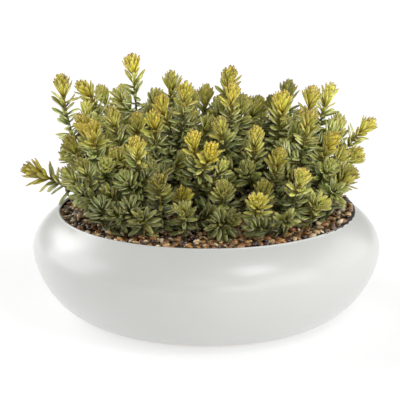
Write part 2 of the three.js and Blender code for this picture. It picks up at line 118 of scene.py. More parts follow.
# Each leafy stem as its root [x, y] and its shoots [x, y, z, lean, gold], placed at the tops of their heads.
# The first shoot is the stem itself, and the others fork from it. Gold is how golden its rosette is.
STEMS = {
    "left_tall": ((-96, 4), (-126, 10, 209, 1.8, 0.75)),
    "left_nodding": ((-84, 26), (-115, 24, 201, 0.15, 0.85)),
    "left_forked": ((-74, 46), (-96, 42, 195, 0.7, 0.35), (-76, 60, 192, 0.6, 0.4)),
    "tallest": ((-58, 14), (-65, 15, 227, 0.7, 0.85), (-60, -6, 180, 0.6, 0.5)),
    "back_left": ((-32, 48), (-31, 50, 206, 0.7, 0.5)),
    "centre_forked": ((-26, 6), (-17, 0, 205, 0.7, 0.8), (-41, 4, 194, 0.1, 0.9)),
    "centre_back": ((-4, 38), (0, 44, 195, 0.7, 0.55), (12, 30, 188, 0.5, 0.35)),
    "right_of_centre": ((10, 30), (22, 30, 213, 0.7, 0.8), (46, 32, 186, 0.6, 0.4), (34, 16, 190, 0.5, 0.4)),
    "golden_centre": ((20, -4), (22, -3, 206, 0.7, 0.95), (11, -22, 180, 0.5, 0.6)),
    "back_right": ((66, 44), (73, 45, 198, 0.7, 0.3), (57, 26, 188, 0.5, 0.35)),
    "right_middle": ((60, 8), (67, 4, 196, 0.7, 0.85)),
    "right_tall": ((82, 16), (93, 18, 198, 0.8, 0.8)),
    "right_back": ((90, 40), (111, 42, 195, 0.8, 0.5)),
    "right_leaning": ((102, 20), (149, 20, 168, 0.5, 0.7), (117, 36, 170, 0.6, 0.3), (134, 4, 147, 0.4, 0.5)),
    "left_golden": ((-84, -24), (-110, -24, 182, 0.7, 0.95), (-96, -40, 180, 0.5, 0.9)),
    "left_inner": ((-68, -10), (-83, -16, 187, 0.7, 0.6)),
    "inner_golden": ((-42, -20), (-45, -25, 186, 0.7, 0.9)),
    "left_facing": ((-56, -44), (-61, -62, 169, 0.2, 0.75)),
    "left_low_golden": ((-100, -8), (-123, -8, 159, 0.5, 0.8)),
    "centre_facing": ((-8, -34), (-12, -46, 172, 0.2, 0.95), (6, -60, 165, 0.2, 0.95)),
    "right_inner": ((38, -22), (43, -26, 172, 0.7, 0.7)),
    "right_facing": ((56, -38), (63, -52, 158, 0.3, 0.75)),
    "right_shoulder": ((78, -12), (91, -12, 184, 0.7, 0.75)),
    "right_side": ((94, -12), (114, -22, 165, 0.2, 0.95), (122, -2, 150, 0.3, 0.6)),
    "left_front": ((-92, -42), (-110, -52, 149, 0.5, 0.5), (-97, -66, 120, 0.2, 0.15)),
    "left_reaching": ((-92, -22), (-158, -16, 132, 0.8, 0.95)),
    "front_left": ((-38, -68), (-40, -86, 142, 0.3, 0.6)),
    "front_low_golden": ((-22, -58), (-20, -74, 128, 0.3, 0.9)),
    "front_facing": ((-18, -86), (-20, -106, 114, 0.1, 0.3)),
    "front_centre": ((14, -60), (15, -76, 133, 0.3, 0.35)),
    "front_right": ((42, -78), (44, -97, 126, 0.3, 0.6)),
    "front_right_inner": ((46, -58), (50, -68, 134, 0.5, 0.6)),
    "front_right_golden": ((72, -62), (83, -80, 146, 0.4, 0.6)),
    "right_front": ((102, -34), (131, -28, 133, 0.3, 0.8)),
    "right_drooping": ((88, -60), (102, -78, 115, 0.1, 0.3)),
    "front_right_low": ((64, -86), (71, -103, 108, 0.2, 0.25)),
    "front_low": ((14, -90), (26, -107, 110, 0.2, 0.3), (2, -108, 108, 0.2, 0.2)),
    "front_low_left": ((-52, -86), (-54, -104, 110, 0.2, 0.25)),
    "left_low": ((-72, -72), (-80, -88, 110, 0.3, 0.2)),
    "rear_left_end": ((-98, 50), (-114, 58, 160, 0.6, 0.6), (-130, 38, 138, 0.2, 0.5)),
    "rear_left": ((-70, 76), (-76, 86, 172, 0.6, 0.7), (-90, 94, 136, 0.3, 0.5)),
    "rear_left_inner": ((-42, 76), (-46, 82, 174, 0.7, 0.4), (-54, 106, 146, 0.3, 0.8)),
    "rear_centre_left": ((-12, 74), (-12, 84, 182, 0.7, 0.5), (-20, 112, 148, 0.3, 0.7)),
    "rear_centre": ((18, 66), (20, 74, 188, 0.7, 0.4), (14, 106, 144, 0.3, 0.9)),
    "rear_right_inner": ((46, 72), (52, 82, 175, 0.7, 0.6), (48, 108, 144, 0.3, 0.6)),
    "rear_right": ((76, 70), (86, 80, 166, 0.6, 0.8), (84, 102, 132, 0.3, 0.5)),
    "rear_right_end": ((102, 50), (116, 62, 152, 0.6, 0.7), (132, 50, 128, 0.2, 0.6)),
    "rear_low_left": ((-30, 98), (-34, 118, 118, 0.2, 0.5)),
    "rear_low_right": ((30, 98), (32, 120, 120, 0.2, 0.6)),
}

# Side shoots that only this script grows, in the same terms, where the bush is thick with green leaves
SIDE_SHOOTS = {
    "left_front": ((-121, -44, 141, 0.4, 0.35), (-114, -50, 127, 0.3, 0.1)),
    "left_golden": ((-84, -50, 150, 0.4, 0.15),),
    "left_facing": ((-71, -60, 141, 0.4, 0.1), (-46, -56, 150, 0.4, 0.15)),
    "left_low": ((-90, -72, 122, 0.4, 0.1), (-62, -78, 124, 0.4, 0.1)),
    "right_inner": ((34, -48, 146, 0.4, 0.2),),
    "right_side": ((106, -36, 146, 0.4, 0.15), (124, -22, 138, 0.4, 0.2)),
    "right_front": ((110, -48, 128, 0.4, 0.1),),
}

# Dark openings between the leafy columns, as their middles [x, y, z] and their radii; the leaves around them
# get painted shade
OPENINGS = np.array([(-27, -52, 127, 17), (-33, -99, 106, 14), (1, -92, 107, 12), (30, -48, 114, 9)]) * MM

# Spots of painted light and painted shade on the leaves, as [x, y, z, radius, change]
PAINTED_LIGHT_AND_SHADE_SPOTS = np.array(
    [
        (-4, -60, 142, 24, 0.6),
        (62, -52, 138, 24, -0.6),
        (65, 0, 168, 18, 0.2),
        (-76, -40, 146, 16, 0.14),
        (-80, -66, 106, 22, -0.24),
        (-40, -85, 103, 18, -0.2),
        (-112, -40, 136, 18, -0.22),
        (108, -8, 158, 18, 0.16),
    ]
)

# How much paler or darker the top of a stem is than the others: partly its own tone, partly painted light and
# painted shade
TOP_TONE_AND_PAINTED_LIGHT = {
    "tallest": 0.2,
    "back_left": 0.14,
    "centre_forked": 0.08,
    "right_of_centre": 0.04,
    "golden_centre": 0.08,
    "right_middle": 0.14,
    "right_tall": 0.12,
    "back_right": -0.22,
    "right_back": 0.48,
    "right_drooping": 0.3,
    "right_shoulder": -0.06,
    "right_leaning": 0.24,
    "left_golden": -0.04,
    "inner_golden": -0.06,
    "left_facing": 0.15,
    "left_low_golden": -0.16,
    "centre_facing": 0.16,
    "front_low": -0.25,
    "front_low_left": -0.15,
    "left_low": -0.15,
    "front_right_inner": -0.2,
    "right_facing": -0.12,
    "front_low_golden": -0.2,
    "right_inner": 0.16,
    "left_front": -0.3,
    "left_reaching": -0.24,
    "front_left": -0.36,
    "front_right": 0.26,
    "front_right_golden": 0.32,
    "left_forked": 0.26,
    "right_front": -0.24,
}

# How much larger the leaves of a stem are than the others'
BULKS = {
    "left_reaching": 1.22,
    "left_tall": 1.12,
    "tallest": 1.04,
    "right_of_centre": 1.1,
    "back_right": 1.08,
    "right_leaning": 1.04,
    "right_tall": 1.1,
    "right_middle": 1.12,
    "right_back": 1.12,
    "back_left": 1.04,
    "centre_forked": 1.04,
}

# How much further apart the leaves of a stem stand than the others'
LOOSE_STEMS = {"left_tall": 1.25, "left_reaching": 1.25, "tallest": 1.3, "right_leaning": 1.25}


def srgb(red: float, green: float, blue: float) -> Colour:
    """Turns a colour as seen on a screen, 0 to 255, into Blender's linear colour with full alpha."""
    shares = (value / 255.0 for value in (red, green, blue))
    return (*(s / 12.92 if s <= 0.04045 else ((s + 0.055) / 1.055) ** 2.4 for s in shares), 1.0)


def held(value: Array | float) -> Array | float:
    """Holds a value between 0 and 1."""
    return np.clip(value, 0.0, 1.0)


def gravel_height(x: float, y: float) -> float:
    """Gives the height of the mounded gravel at a place, before its stones."""
    share = np.minimum(1.0, np.hypot(x, y) / GRAVEL_RADIUS)
    return GRAVEL_EDGE + (GRAVEL_CROWN - GRAVEL_EDGE) * (1.0 - share**2)


def deselect_all() -> None:
    """Leaves object mode with nothing selected, so that the next operator acts on its own piece."""
    if bpy.context.object and bpy.context.object.mode != "OBJECT":
        bpy.ops.object.mode_set(mode="OBJECT")
    bpy.ops.object.select_all(action="DESELECT")


def open_primitive(add: Callable[..., object], **sizes: object) -> Piece:
    """Adds a primitive on its own and opens it in edit mode, with all of it selected.

    Args:
        add: The operator that adds it.
        **sizes: Its sizes and its place.

    Returns:
        The primitive.
    """
    deselect_all()
    add(**sizes)
    bpy.ops.object.transform_apply(location=True, rotation=True, scale=True)
    bpy.ops.object.mode_set(mode="EDIT")
    bpy.ops.mesh.select_all(action="SELECT")
    return bpy.context.object


def select_slice(piece: Piece, place: float, margin: float = 0.01) -> None:
    """Selects only the corners near one place along X.

    Args:
        piece: The piece in edit mode.
        place: The place along X.
        margin: How near they are.
    """
    bpy.ops.mesh.select_all(action="DESELECT")
    bpy.ops.object.mode_set(mode="OBJECT")
    for vertex in piece.data.vertices:
        vertex.select = place - margin <= vertex.co.x <= place + margin
    bpy.ops.object.mode_set(mode="EDIT")


def as_arrays(piece: Piece) -> Shape:
    """Reads a modelled shape for copying, and removes it.

    Args:
        piece: The modelled shape.

    Returns:
        Its corners and its triangles.
    """
    mesh = piece.data
    mesh.calc_loop_triangles()
    corners = np.zeros(len(mesh.vertices) * 3)
    mesh.vertices.foreach_get("co", corners)
    faces = np.zeros(len(mesh.loop_triangles) * 3, np.int64)
    mesh.loop_triangles.foreach_get("vertices", faces)
    bpy.data.objects.remove(piece)
    return corners.reshape(-1, 3), faces.reshape(-1, 3)


class NodeSheet:
    """A material's node tree, with short ways to add the usual nodes."""

    def __init__(self, name: str) -> None:
        """Starts a material with one Principled shader.

        Args:
            name: The material's name.
        """
        self.material = bpy.data.materials.new(name)
        self.material.use_nodes = True
        self.tree = self.material.node_tree
        self.shader = self.tree.nodes["Principled BSDF"]

    def feed(self, node: bpy.types.Node, feeds: dict[str, object]) -> None:
        """Gives a node's inputs their constants and links.

        Args:
            node: The node.
            feeds: A constant or another node's socket for each named input.
        """
        for key, value in feeds.items():
            if isinstance(value, Socket):
                self.tree.links.new(value, node.inputs[key])
            else:
                node.inputs[key].default_value = value

    def add(self, kind: str, feeds: dict[str, object], **settings: object) -> bpy.types.Node:
        """Adds a node.

        Args:
            kind: Its Blender type.
            feeds: What its inputs get.
            **settings: Values for its own properties.

        Returns:
            The node.
        """
        node = self.tree.nodes.new(kind)
        for key, value in settings.items():
            setattr(node, key, value)
        self.feed(node, feeds)
        return node

    def shade(self, **feeds: object) -> Material:
        """Feeds the shader, with _ for a space in an input's name, and gives the finished material."""
        self.feed(self.shader, {key.replace("_", " "): value for key, value in feeds.items()})
        return self.material

    def attribute(self, name: str) -> Socket:
        """Reads one of the piece's own number attributes."""
        return self.add("ShaderNodeAttribute", {}, attribute_name=name).outputs["Fac"]

    def place(self) -> Socket:
        """Reads the place on the piece."""
        return self.add("ShaderNodeTexCoord", {}).outputs["Object"]

    def noise(self, scale: float, detail: float = 2.0, roughness: float = 0.5) -> Socket:
        """Adds cloudy noise, by its waves a metre, its layers and the strength of the finer ones."""
        feeds = {"Vector": self.place(), "Scale": scale, "Detail": detail, "Roughness": roughness}
        return self.add("ShaderNodeTexNoise", feeds).outputs["Fac"]

    def ramp(self, value: Socket, stops: Stops, steps: bool = False) -> Socket:
        """Colours a value by stops.

        Args:
            value: The value, from 0 to 1.
            stops: Pairs of place and colour.
            steps: True for plain steps with no blending.

        Returns:
            The colour.
        """
        node = self.add("ShaderNodeValToRGB", {"Fac": value})
        node.color_ramp.interpolation = "CONSTANT" if steps else "LINEAR"
        elements = node.color_ramp.elements
        while len(elements) < len(stops):
            elements.new(1.0)
        for element, (place, colour) in zip(elements, stops):
            element.position = place
            element.color = colour
        return node.outputs["Color"]

    def span(self, value: Socket, source: Span, to: Span) -> Socket:
        """Maps one range of numbers to another, and holds the value inside it."""
        ends = dict(zip(("From Min", "From Max", "To Min", "To Max"), (*source, *to)))
        return self.add("ShaderNodeMapRange", {"Value": value, **ends}).outputs["Result"]

    def mix(self, factor: Socket, first: Socket, second: Socket, way: str = "MIX") -> Socket:
        """Mixes two colours by the share of the second, in one of Blender's blend types."""
        feeds = {"Factor": factor, "A": first, "B": second}
        return self.add("ShaderNodeMix", feeds, data_type="RGBA", blend_type=way).outputs["Result"]

    def tune(self, **feeds: Socket) -> Socket:
        """Shifts the Color by its Hue, 0.5 for no change, and its Value, 1 for no change."""
        return self.add("ShaderNodeHueSaturation", feeds).outputs["Color"]

    def bump(self, height: Socket, strength: float, distance: float) -> Socket:
        """Raises the surface by a value, with its share and its full height in metres."""
        feeds = {"Height": height, "Strength": strength, "Distance": distance}
        return self.add("ShaderNodeBump", feeds).outputs["Normal"]


@dataclass(frozen=True)
class MottledFinish:
    """Colours in cloudy noise, with a noise each for the roughness and for the grain of the relief.

    A noise is its waves a metre, its layers and the strength of the finer ones, and the relief is its
    share and its full height.
    """

    name: str
    clouds: Noise
    stops: Stops
    dulling: Noise
    roughness: Span
    grain: Noise
    relief: Span
    dulling_span: Span = MIDDLE
    coat: float = 0.0
    coat_roughness: float = 0.03

    def build(self) -> Material:
        """Makes the material.

        Returns:
            The finished material.
        """
        sheet = NodeSheet(self.name)
        return sheet.shade(
            Base_Color=sheet.ramp(sheet.noise(*self.clouds), self.stops),
            Roughness=sheet.span(sheet.noise(*self.dulling), self.dulling_span, self.roughness),
            Normal=sheet.bump(sheet.noise(*self.grain), *self.relief),
            Coat_Weight=self.coat,
            Coat_Roughness=self.coat_roughness,
            IOR=1.5,
        )


@dataclass(frozen=True)
class GlazeFinish(MottledFinish):
    """Satin white glaze of the bowl's outside, with the faint cloudiness and ripple of a dipped glaze."""

    name: str = "white_glaze"
    clouds: Noise = (18.0, 3.0)
    stops: Stops = ((0.0, srgb(195, 196, 192)), (1.0, srgb(202, 203, 199)))
    dulling: Noise = (14.0, 2.0)
    roughness: Span = (0.285, 0.335)
    grain: Noise = (30.0, 2.0)
    relief: Span = (0.1, 0.3 * MM)
    dulling_span: Span = UNIT
    coat: float = 0.35
    coat_roughness: float = 0.23


@dataclass(frozen=True)
class InnerWallFinish(MottledFinish):
    """Dark, dull inside of the bowl above the gravel."""

    name: str = "dark_inner_wall"
    clouds: Noise = (260.0, 5.0)
    stops: Stops = ((0.35, srgb(44, 41, 40)), (0.75, srgb(74, 70, 66)))
    dulling: Noise = (400.0, 3.0)
    roughness: Span = (0.32, 0.5)
    grain: Noise = (600.0, 4.0)
    relief: Span = (0.2, 0.2 * MM)


@dataclass(frozen=True)
class BareClayFinish(MottledFinish):
    """Unglazed clay of the foot, warm and sandy."""

    name: str = "bare_clay_foot"
    clouds: Noise = (900.0, 6.0, 0.7)
    stops: Stops = ((0.3, srgb(150, 124, 100)), (0.7, srgb(196, 178, 158)))
    dulling: Noise = (300.0,)
    roughness: Span = (0.75, 0.95)
    grain: Noise = (1500.0, 4.0)
    relief: Span = (0.4, 0.2 * MM)


@dataclass(frozen=True)
class SoilFinish(MottledFinish):
    """Dark crumbly potting mix."""

    name: str = "potting_mix"
    clouds: Noise = (500.0, 8.0, 0.7)
    stops: Stops = ((0.4, srgb(38, 28, 20)), (0.72, srgb(84, 62, 42)))
    dulling: Noise = (200.0,)
    roughness: Span = (0.85, 1.0)
    grain: Noise = (350.0, 8.0, 0.7)
    relief: Span = (0.9, 1.5 * MM)


@dataclass(frozen=True)
class PebbleFinish:
    """Polished pea gravel, each stone in its own colour with faint veins."""

    stones: Stops = (
        (0.0, srgb(250, 226, 182)),
        (0.13, srgb(216, 180, 124)),
        (0.26, srgb(200, 146, 80)),
        (0.38, srgb(156, 100, 48)),
        (0.52, srgb(108, 66, 34)),
        (0.64, srgb(70, 42, 28)),
        (0.74, srgb(172, 124, 78)),
        (0.79, srgb(40, 32, 27)),
        (0.88, srgb(240, 200, 142)),
        (0.95, srgb(176, 116, 70)),
    )
    veins: Stops = ((0.3, srgb(120, 110, 100)), (0.6, srgb(255, 255, 255)))
    vein_amount: Span = (0.2, 0.7)
    brightness: Span = (0.26, 1.24)
    roughness: Span = (0.12, 0.26)

    def build(self) -> Material:
        """Makes the material.

        Returns:
            The finished material.
        """
        sheet = NodeSheet("polished_pebbles")
        vary = sheet.attribute("vary")
        tone = sheet.ramp(sheet.attribute("stone"), self.stones, steps=True)
        veins = sheet.ramp(sheet.noise(700.0, 5.0, 0.6), self.veins)
        veined = sheet.mix(sheet.span(vary, UNIT, self.vein_amount), tone, veins, "MULTIPLY")
        return sheet.shade(
            Base_Color=sheet.tune(Color=veined, Value=sheet.span(vary, UNIT, self.brightness)),
            Roughness=sheet.span(vary, UNIT, self.roughness),
            Normal=sheet.bump(sheet.noise(900.0, 3.0), 0.25, 0.3 * MM),
            Coat_Weight=0.75,
            Coat_Roughness=0.08,
        )


@dataclass(frozen=True)
class GravelBedFinish:
    """The grit between and under the pebbles, near black: partly its own dark colour, partly painted shade in
    the gaps between the stones.
    """

    # Dark brown to near black: partly the grit's own colour, partly painted shade between the stones
    grit: Stops = ((0.1, srgb(66, 45, 29)), (0.6, srgb(18, 12, 8)))
    grains: float = 320.0

    def build(self) -> Material:
        """Makes the material.

        Returns:
            The finished material.
        """
        sheet = NodeSheet("grit_and_painted_shade_between_pebbles")
        feeds = {"Vector": sheet.place(), "Scale": self.grains}
        cells = sheet.add("ShaderNodeTexVoronoi", feeds).outputs["Distance"]
        colour = sheet.ramp(cells, self.grit)
        return sheet.shade(Base_Color=colour, Roughness=0.7, Normal=sheet.bump(cells, 0.8, 1.2 * MM))


@dataclass(frozen=True)
class LeafFinish:
    """Waxy fleshy leaves: grey-green low on the stem, golden in the rosettes, with small dark tips."""

    # From base to tip: darker at the base, partly the leaf's own colour and partly painted shade deep among
    # the leaves; paler towards the tip, partly painted highlight; then the small dark tip
    green: Stops = (
        (0.0, srgb(62, 66, 24)),
        (0.22, srgb(78, 92, 29)),
        (0.6, srgb(118, 136, 49)),
        (0.86, srgb(170, 180, 102)),
        (0.94, srgb(168, 168, 102)),
        (0.985, srgb(96, 74, 36)),
    )
    gold: Stops = (
        (0.0, srgb(122, 92, 24)),
        (0.22, srgb(170, 142, 26)),
        (0.6, srgb(212, 198, 50)),
        (0.86, srgb(230, 220, 92)),
        (0.93, srgb(210, 176, 78)),
        (0.98, srgb(104, 62, 30)),
    )
    # Pale leaf margins: partly the leaves' own paler margins, partly painted highlight
    green_margin_highlight: Stops = ((0.0, srgb(84, 84, 40)), (0.5, srgb(242, 244, 196)), (0.97, srgb(104, 84, 48)))
    golden_margin_highlight: Stops = ((0.0, srgb(130, 100, 30)), (0.5, srgb(234, 222, 100)), (0.97, srgb(118, 76, 36)))
    mottle: Stops = ((0.3, srgb(226, 226, 214)), (0.65, srgb(255, 255, 255)))
    margin_highlight_start: Span = (0.5, 0.86)
    hues: Span = (0.487, 0.513)
    brightness: Span = (0.44, 1.7)
    roughness: Span = (0.34, 0.5)

    def build(self) -> Material:
        """Makes the material.

        Returns:
            The finished material.
        """
        sheet = NodeSheet("waxy_leaf")
        along, gold = sheet.attribute("along"), sheet.attribute("gold")
        blade = sheet.mix(gold, sheet.ramp(along, self.green), sheet.ramp(along, self.gold))
        # Pale margins, partly painted highlight
        edge = sheet.mix(gold, sheet.ramp(along, self.green_margin_highlight), sheet.ramp(along, self.golden_margin_highlight))
        edged = sheet.mix(sheet.span(sheet.attribute("edge"), self.margin_highlight_start, UNIT), blade, edge)
        hue = sheet.span(sheet.attribute("vary"), UNIT, self.hues)
        # Brightness from the light attribute: the stem's tone, random change, painted light and painted shade
        value = sheet.span(sheet.attribute("light"), UNIT, self.brightness)
        toned = sheet.tune(Color=edged, Hue=hue, Value=value)
        mottle = sheet.ramp(sheet.noise(1400.0, 3.0), self.mottle)
        return sheet.shade(
            Base_Color=sheet.mix(along, toned, mottle, "MULTIPLY"),
            Roughness=sheet.span(sheet.noise(1000.0, 3.0), MIDDLE, self.roughness),
            Normal=sheet.bump(sheet.noise(1100.0, 3.0), 0.25, 0.25 * MM),
            Subsurface_Weight=0.1,
            Subsurface_Radius=(0.6, 0.8, 0.1),
            Subsurface_Scale=1.2 * MM,
            Specular_IOR_Level=0.45,
            Coat_Weight=0.2,
            Coat_Roughness=0.2,
        )


@dataclass(frozen=True)
class StemFinish:
    """Stem skin, brown and ringed with old leaf scars low down, olive and then golden higher up."""

    green: Stops = ((0.1, srgb(86, 72, 48)), (0.6, srgb(116, 110, 56)))
    gold: Stops = ((0.3, srgb(116, 110, 56)), (0.7, srgb(150, 130, 56)))
    roughness: Span = (0.5, 0.75)

    def build(self) -> Material:
        """Makes the material.

        Returns:
            The finished material.
        """
        sheet = NodeSheet("stem_skin")
        along, gold = sheet.attribute("along"), sheet.attribute("gold")
        colour = sheet.mix(gold, sheet.ramp(along, self.green), sheet.ramp(along, self.gold))
        rough = sheet.span(sheet.noise(500.0), MIDDLE, self.roughness)
        scars = sheet.bump(sheet.noise(800.0, 5.0, 0.6), 0.5, 0.4 * MM)
        return sheet.shade(Base_Color=colour, Roughness=rough, Normal=scars)


@dataclass(frozen=True)
class FloorFinish:
    """Plain pale studio floor, lit through from below like a light table, and more so further out."""

    pale: Colour = srgb(188, 188, 188)
    light: Colour = srgb(255, 255, 255)
    reach: Span = (0.5, 2.2)
    glow: Span = (0.55, 0.8)

    def build(self) -> Material:
        """Makes the material.

        Returns:
            The finished material.
        """
        sheet = NodeSheet("studio_floor")
        reach = sheet.add("ShaderNodeVectorMath", {"Vector": sheet.place()}, operation="LENGTH")
        return sheet.shade(
            Base_Color=self.pale,
            Roughness=0.9,
            Specular_IOR_Level=0.1,
            Emission_Color=self.light,
            Emission_Strength=sheet.span(reach.outputs["Value"], self.reach, self.glow),
        )


@dataclass
class MeshParts:
    """Corners, faces and number attributes gathered from many copies, made into one mesh at the end."""

    corners: list[Array] = field(default_factory=list)
    faces: list[Array] = field(default_factory=list)
    slots: list[Array] = field(default_factory=list)
    marks: dict[str, list[Array]] = field(default_factory=dict)
    count: int = 0

    def take(self, corners: Array, faces: Array, slot: int, **marks: Array | float) -> None:
        """Adds one copy of a shape.

        Args:
            corners: Its corners, already in place.
            faces: Its triangles.
            slot: The material slot of its faces.
            **marks: A number, or one for each corner, for each attribute.
        """
        self.corners.append(corners)
        self.faces.append(faces + self.count)
        self.slots.append(np.full(len(faces), slot, np.int32))
        for name, value in marks.items():
            numbers = np.broadcast_to(np.asarray(value, np.float32), len(corners))
            self.marks.setdefault(name, []).append(numbers)
        self.count += len(corners)

    def build(self, name: str, materials: list[Material]) -> Piece:
        """Makes the piece.

        Args:
            name: The piece's name.
            materials: Its material slots.

        Returns:
            The piece, smooth-shaded, with its place in its mesh.
        """
        mesh = bpy.data.meshes.new(name)
        faces = np.concatenate(self.faces)
        mesh.from_pydata(np.concatenate(self.corners).tolist(), [], faces.tolist())
        mesh.polygons.foreach_set("material_index", np.concatenate(self.slots))
        mesh.polygons.foreach_set("use_smooth", np.ones(len(faces), bool))
        for mark, values in self.marks.items():
            mesh.attributes.new(mark, "FLOAT", "POINT").data.foreach_set("value", np.concatenate(values))
        for material in materials:
            mesh.materials.append(material)
        mesh.update()
        piece = bpy.data.objects.new(name, mesh)
        bpy.context.scene.collection.objects.link(piece)
        return piece


@dataclass
class Bowl:
    """The low round ceramic bowl. Its slots are numbered in the order in which dress fills them."""

    spin_steps: int = 144
    lower_points: int = 26
    shoulder_points: int = 16
    rim_points: int = 6
    foot_edge: Span = (0.5 * MM, 0.4 * MM)
    glaze_foot_line: float = 1.6 * MM
    foot_margin: float = 1.0 * MM
    weld: float = 0.01 * MM
    smooth_angle: float = 40.0
    lip_height: float = 1.2 * RIM_WALL
    inner_slot: int = 1
    foot_slot: int = 2

    def wall_radius(self, height: float) -> float:
        """Gives the outer wall's radius at a height.

        Args:
            height: The height above the floor.

        Returns:
            The radius there.
        """
        if height <= BELLY_HEIGHT:
            depth = (BELLY_HEIGHT - height) / (BELLY_HEIGHT - FOOT_HEIGHT)
            cosine = min(1.0, max(0.0, depth)) ** (LOWER_WALL_POWER / 2)
            sine = math.sqrt(max(0.0, 1.0 - cosine**2))
            return LOWER_WALL_RADIUS + (POT_RADIUS - LOWER_WALL_RADIUS) * sine ** (2 / LOWER_WALL_POWER)
        rim_share = (POT_HEIGHT - BELLY_HEIGHT) / SHOULDER_SEMI_HEIGHT
        reach = (POT_RADIUS - RIM_RADIUS) / (1 - math.sqrt(1 - rim_share**2))
        share = (height - BELLY_HEIGHT) / SHOULDER_SEMI_HEIGHT
        return POT_RADIUS - reach * (1 - math.sqrt(1 - share**2))

    def wall_at(self, height: float) -> float:
        """Gives the wall's thickness at a height, thinning over the shoulder to the rim."""
        share = max(0.0, (height - BELLY_HEIGHT) / (POT_HEIGHT - BELLY_HEIGHT))
        return WALL - (WALL - RIM_WALL) * share**2

    def profile(self) -> list[Span]:
        """Works out the whole section, from the middle of the foot to the middle of the inner floor.

        Returns:
            Its points as radius and height.
        """
        inward, upward = self.foot_edge
        points = [(0.0, 0.0), (FOOT_RADIUS - inward, 0.0), (FOOT_RADIUS, upward), (FOOT_RADIUS, FOOT_HEIGHT)]
        for i in range(self.lower_points):
            angle = i / self.lower_points * math.pi / 2
            height = BELLY_HEIGHT - (BELLY_HEIGHT - FOOT_HEIGHT) * math.cos(angle) ** (2 / LOWER_WALL_POWER)
            points.append((self.wall_radius(height), height))
        edge = RIM_WALL / 2
        top = POT_HEIGHT - edge
        for i in range(self.shoulder_points + 1):
            height = BELLY_HEIGHT + (top - BELLY_HEIGHT) * i / self.shoulder_points
            points.append((self.wall_radius(height), height))
        centre = self.wall_radius(top) - edge
        for i in range(1, self.rim_points):
            angle = math.pi * i / self.rim_points
            points.append((centre + edge * math.cos(angle), top + edge * math.sin(angle)))
        for i in range(self.shoulder_points + 1):
            height = top - (top - BELLY_HEIGHT) * i / self.shoulder_points
            points.append((self.wall_radius(height) - self.wall_at(height), height))
        for i in range(1, self.lower_points + 1):
            angle = math.pi / 2 * (1 - i / self.lower_points)
            depth = (BELLY_HEIGHT - FLOOR_THICKNESS) * math.cos(angle) ** (2 / LOWER_WALL_POWER)
            reach = (POT_RADIUS - LOWER_WALL_RADIUS) * math.sin(angle) ** (2 / LOWER_WALL_POWER)
            points.append((LOWER_WALL_RADIUS - WALL + reach, BELLY_HEIGHT - depth))
        points.append((0.0, FLOOR_THICKNESS))
        return points

    def model(self) -> Piece:
        """Draws the section edge by edge and spins it round the bowl's axis.

        Returns:
            The bowl.
        """
        section = self.profile()
        piece = open_primitive(bpy.ops.mesh.primitive_plane_add, size=1.0)
        piece.name = "bowl"
        bpy.ops.mesh.merge(type="CENTER")
        for (r0, z0), (r1, z1) in zip(section, section[1:]):
            step = {"value": (r1 - r0, 0.0, z1 - z0)}
            bpy.ops.mesh.extrude_vertices_move(MESH_OT_extrude_verts_indiv={}, TRANSFORM_OT_translate=step)
        bpy.ops.mesh.select_all(action="SELECT")
        bpy.ops.mesh.spin(steps=self.spin_steps, angle=FULL_TURN, center=ORIGIN, axis=(0.0, 0.0, 1.0))
        bpy.ops.mesh.select_all(action="SELECT")
        bpy.ops.mesh.remove_doubles(threshold=self.weld)
        bpy.ops.mesh.normals_make_consistent(inside=False)
        bpy.ops.object.mode_set(mode="OBJECT")
        bpy.ops.object.shade_smooth_by_angle(angle=math.radians(self.smooth_angle))
        return piece

    def dress(self, piece: Piece) -> None:
        """Gives the outside its glaze, the inside its dark coat and the foot its bare clay.

        Args:
            piece: The bowl.
        """
        for finish in (GlazeFinish(), InnerWallFinish(), BareClayFinish()):
            piece.data.materials.append(finish.build())
        for face in piece.data.polygons:
            height = face.center.z
            radius = math.hypot(face.center.x, face.center.y)
            outer = self.wall_radius(min(height, POT_HEIGHT - RIM_WALL))
            if height < self.glaze_foot_line and radius < LOWER_WALL_RADIUS + self.foot_margin:
                face.material_index = self.foot_slot
            elif height < POT_HEIGHT - self.lip_height and radius < outer - self.wall_at(height) / 2:
                face.material_index = self.inner_slot
        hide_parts("pot")
        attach(piece, ROOT_BODY)

    def build(self) -> Piece:
        """Models and dresses the bowl.

        Returns:
            The bowl.
        """
        piece = self.model()
        self.dress(piece)
        return piece


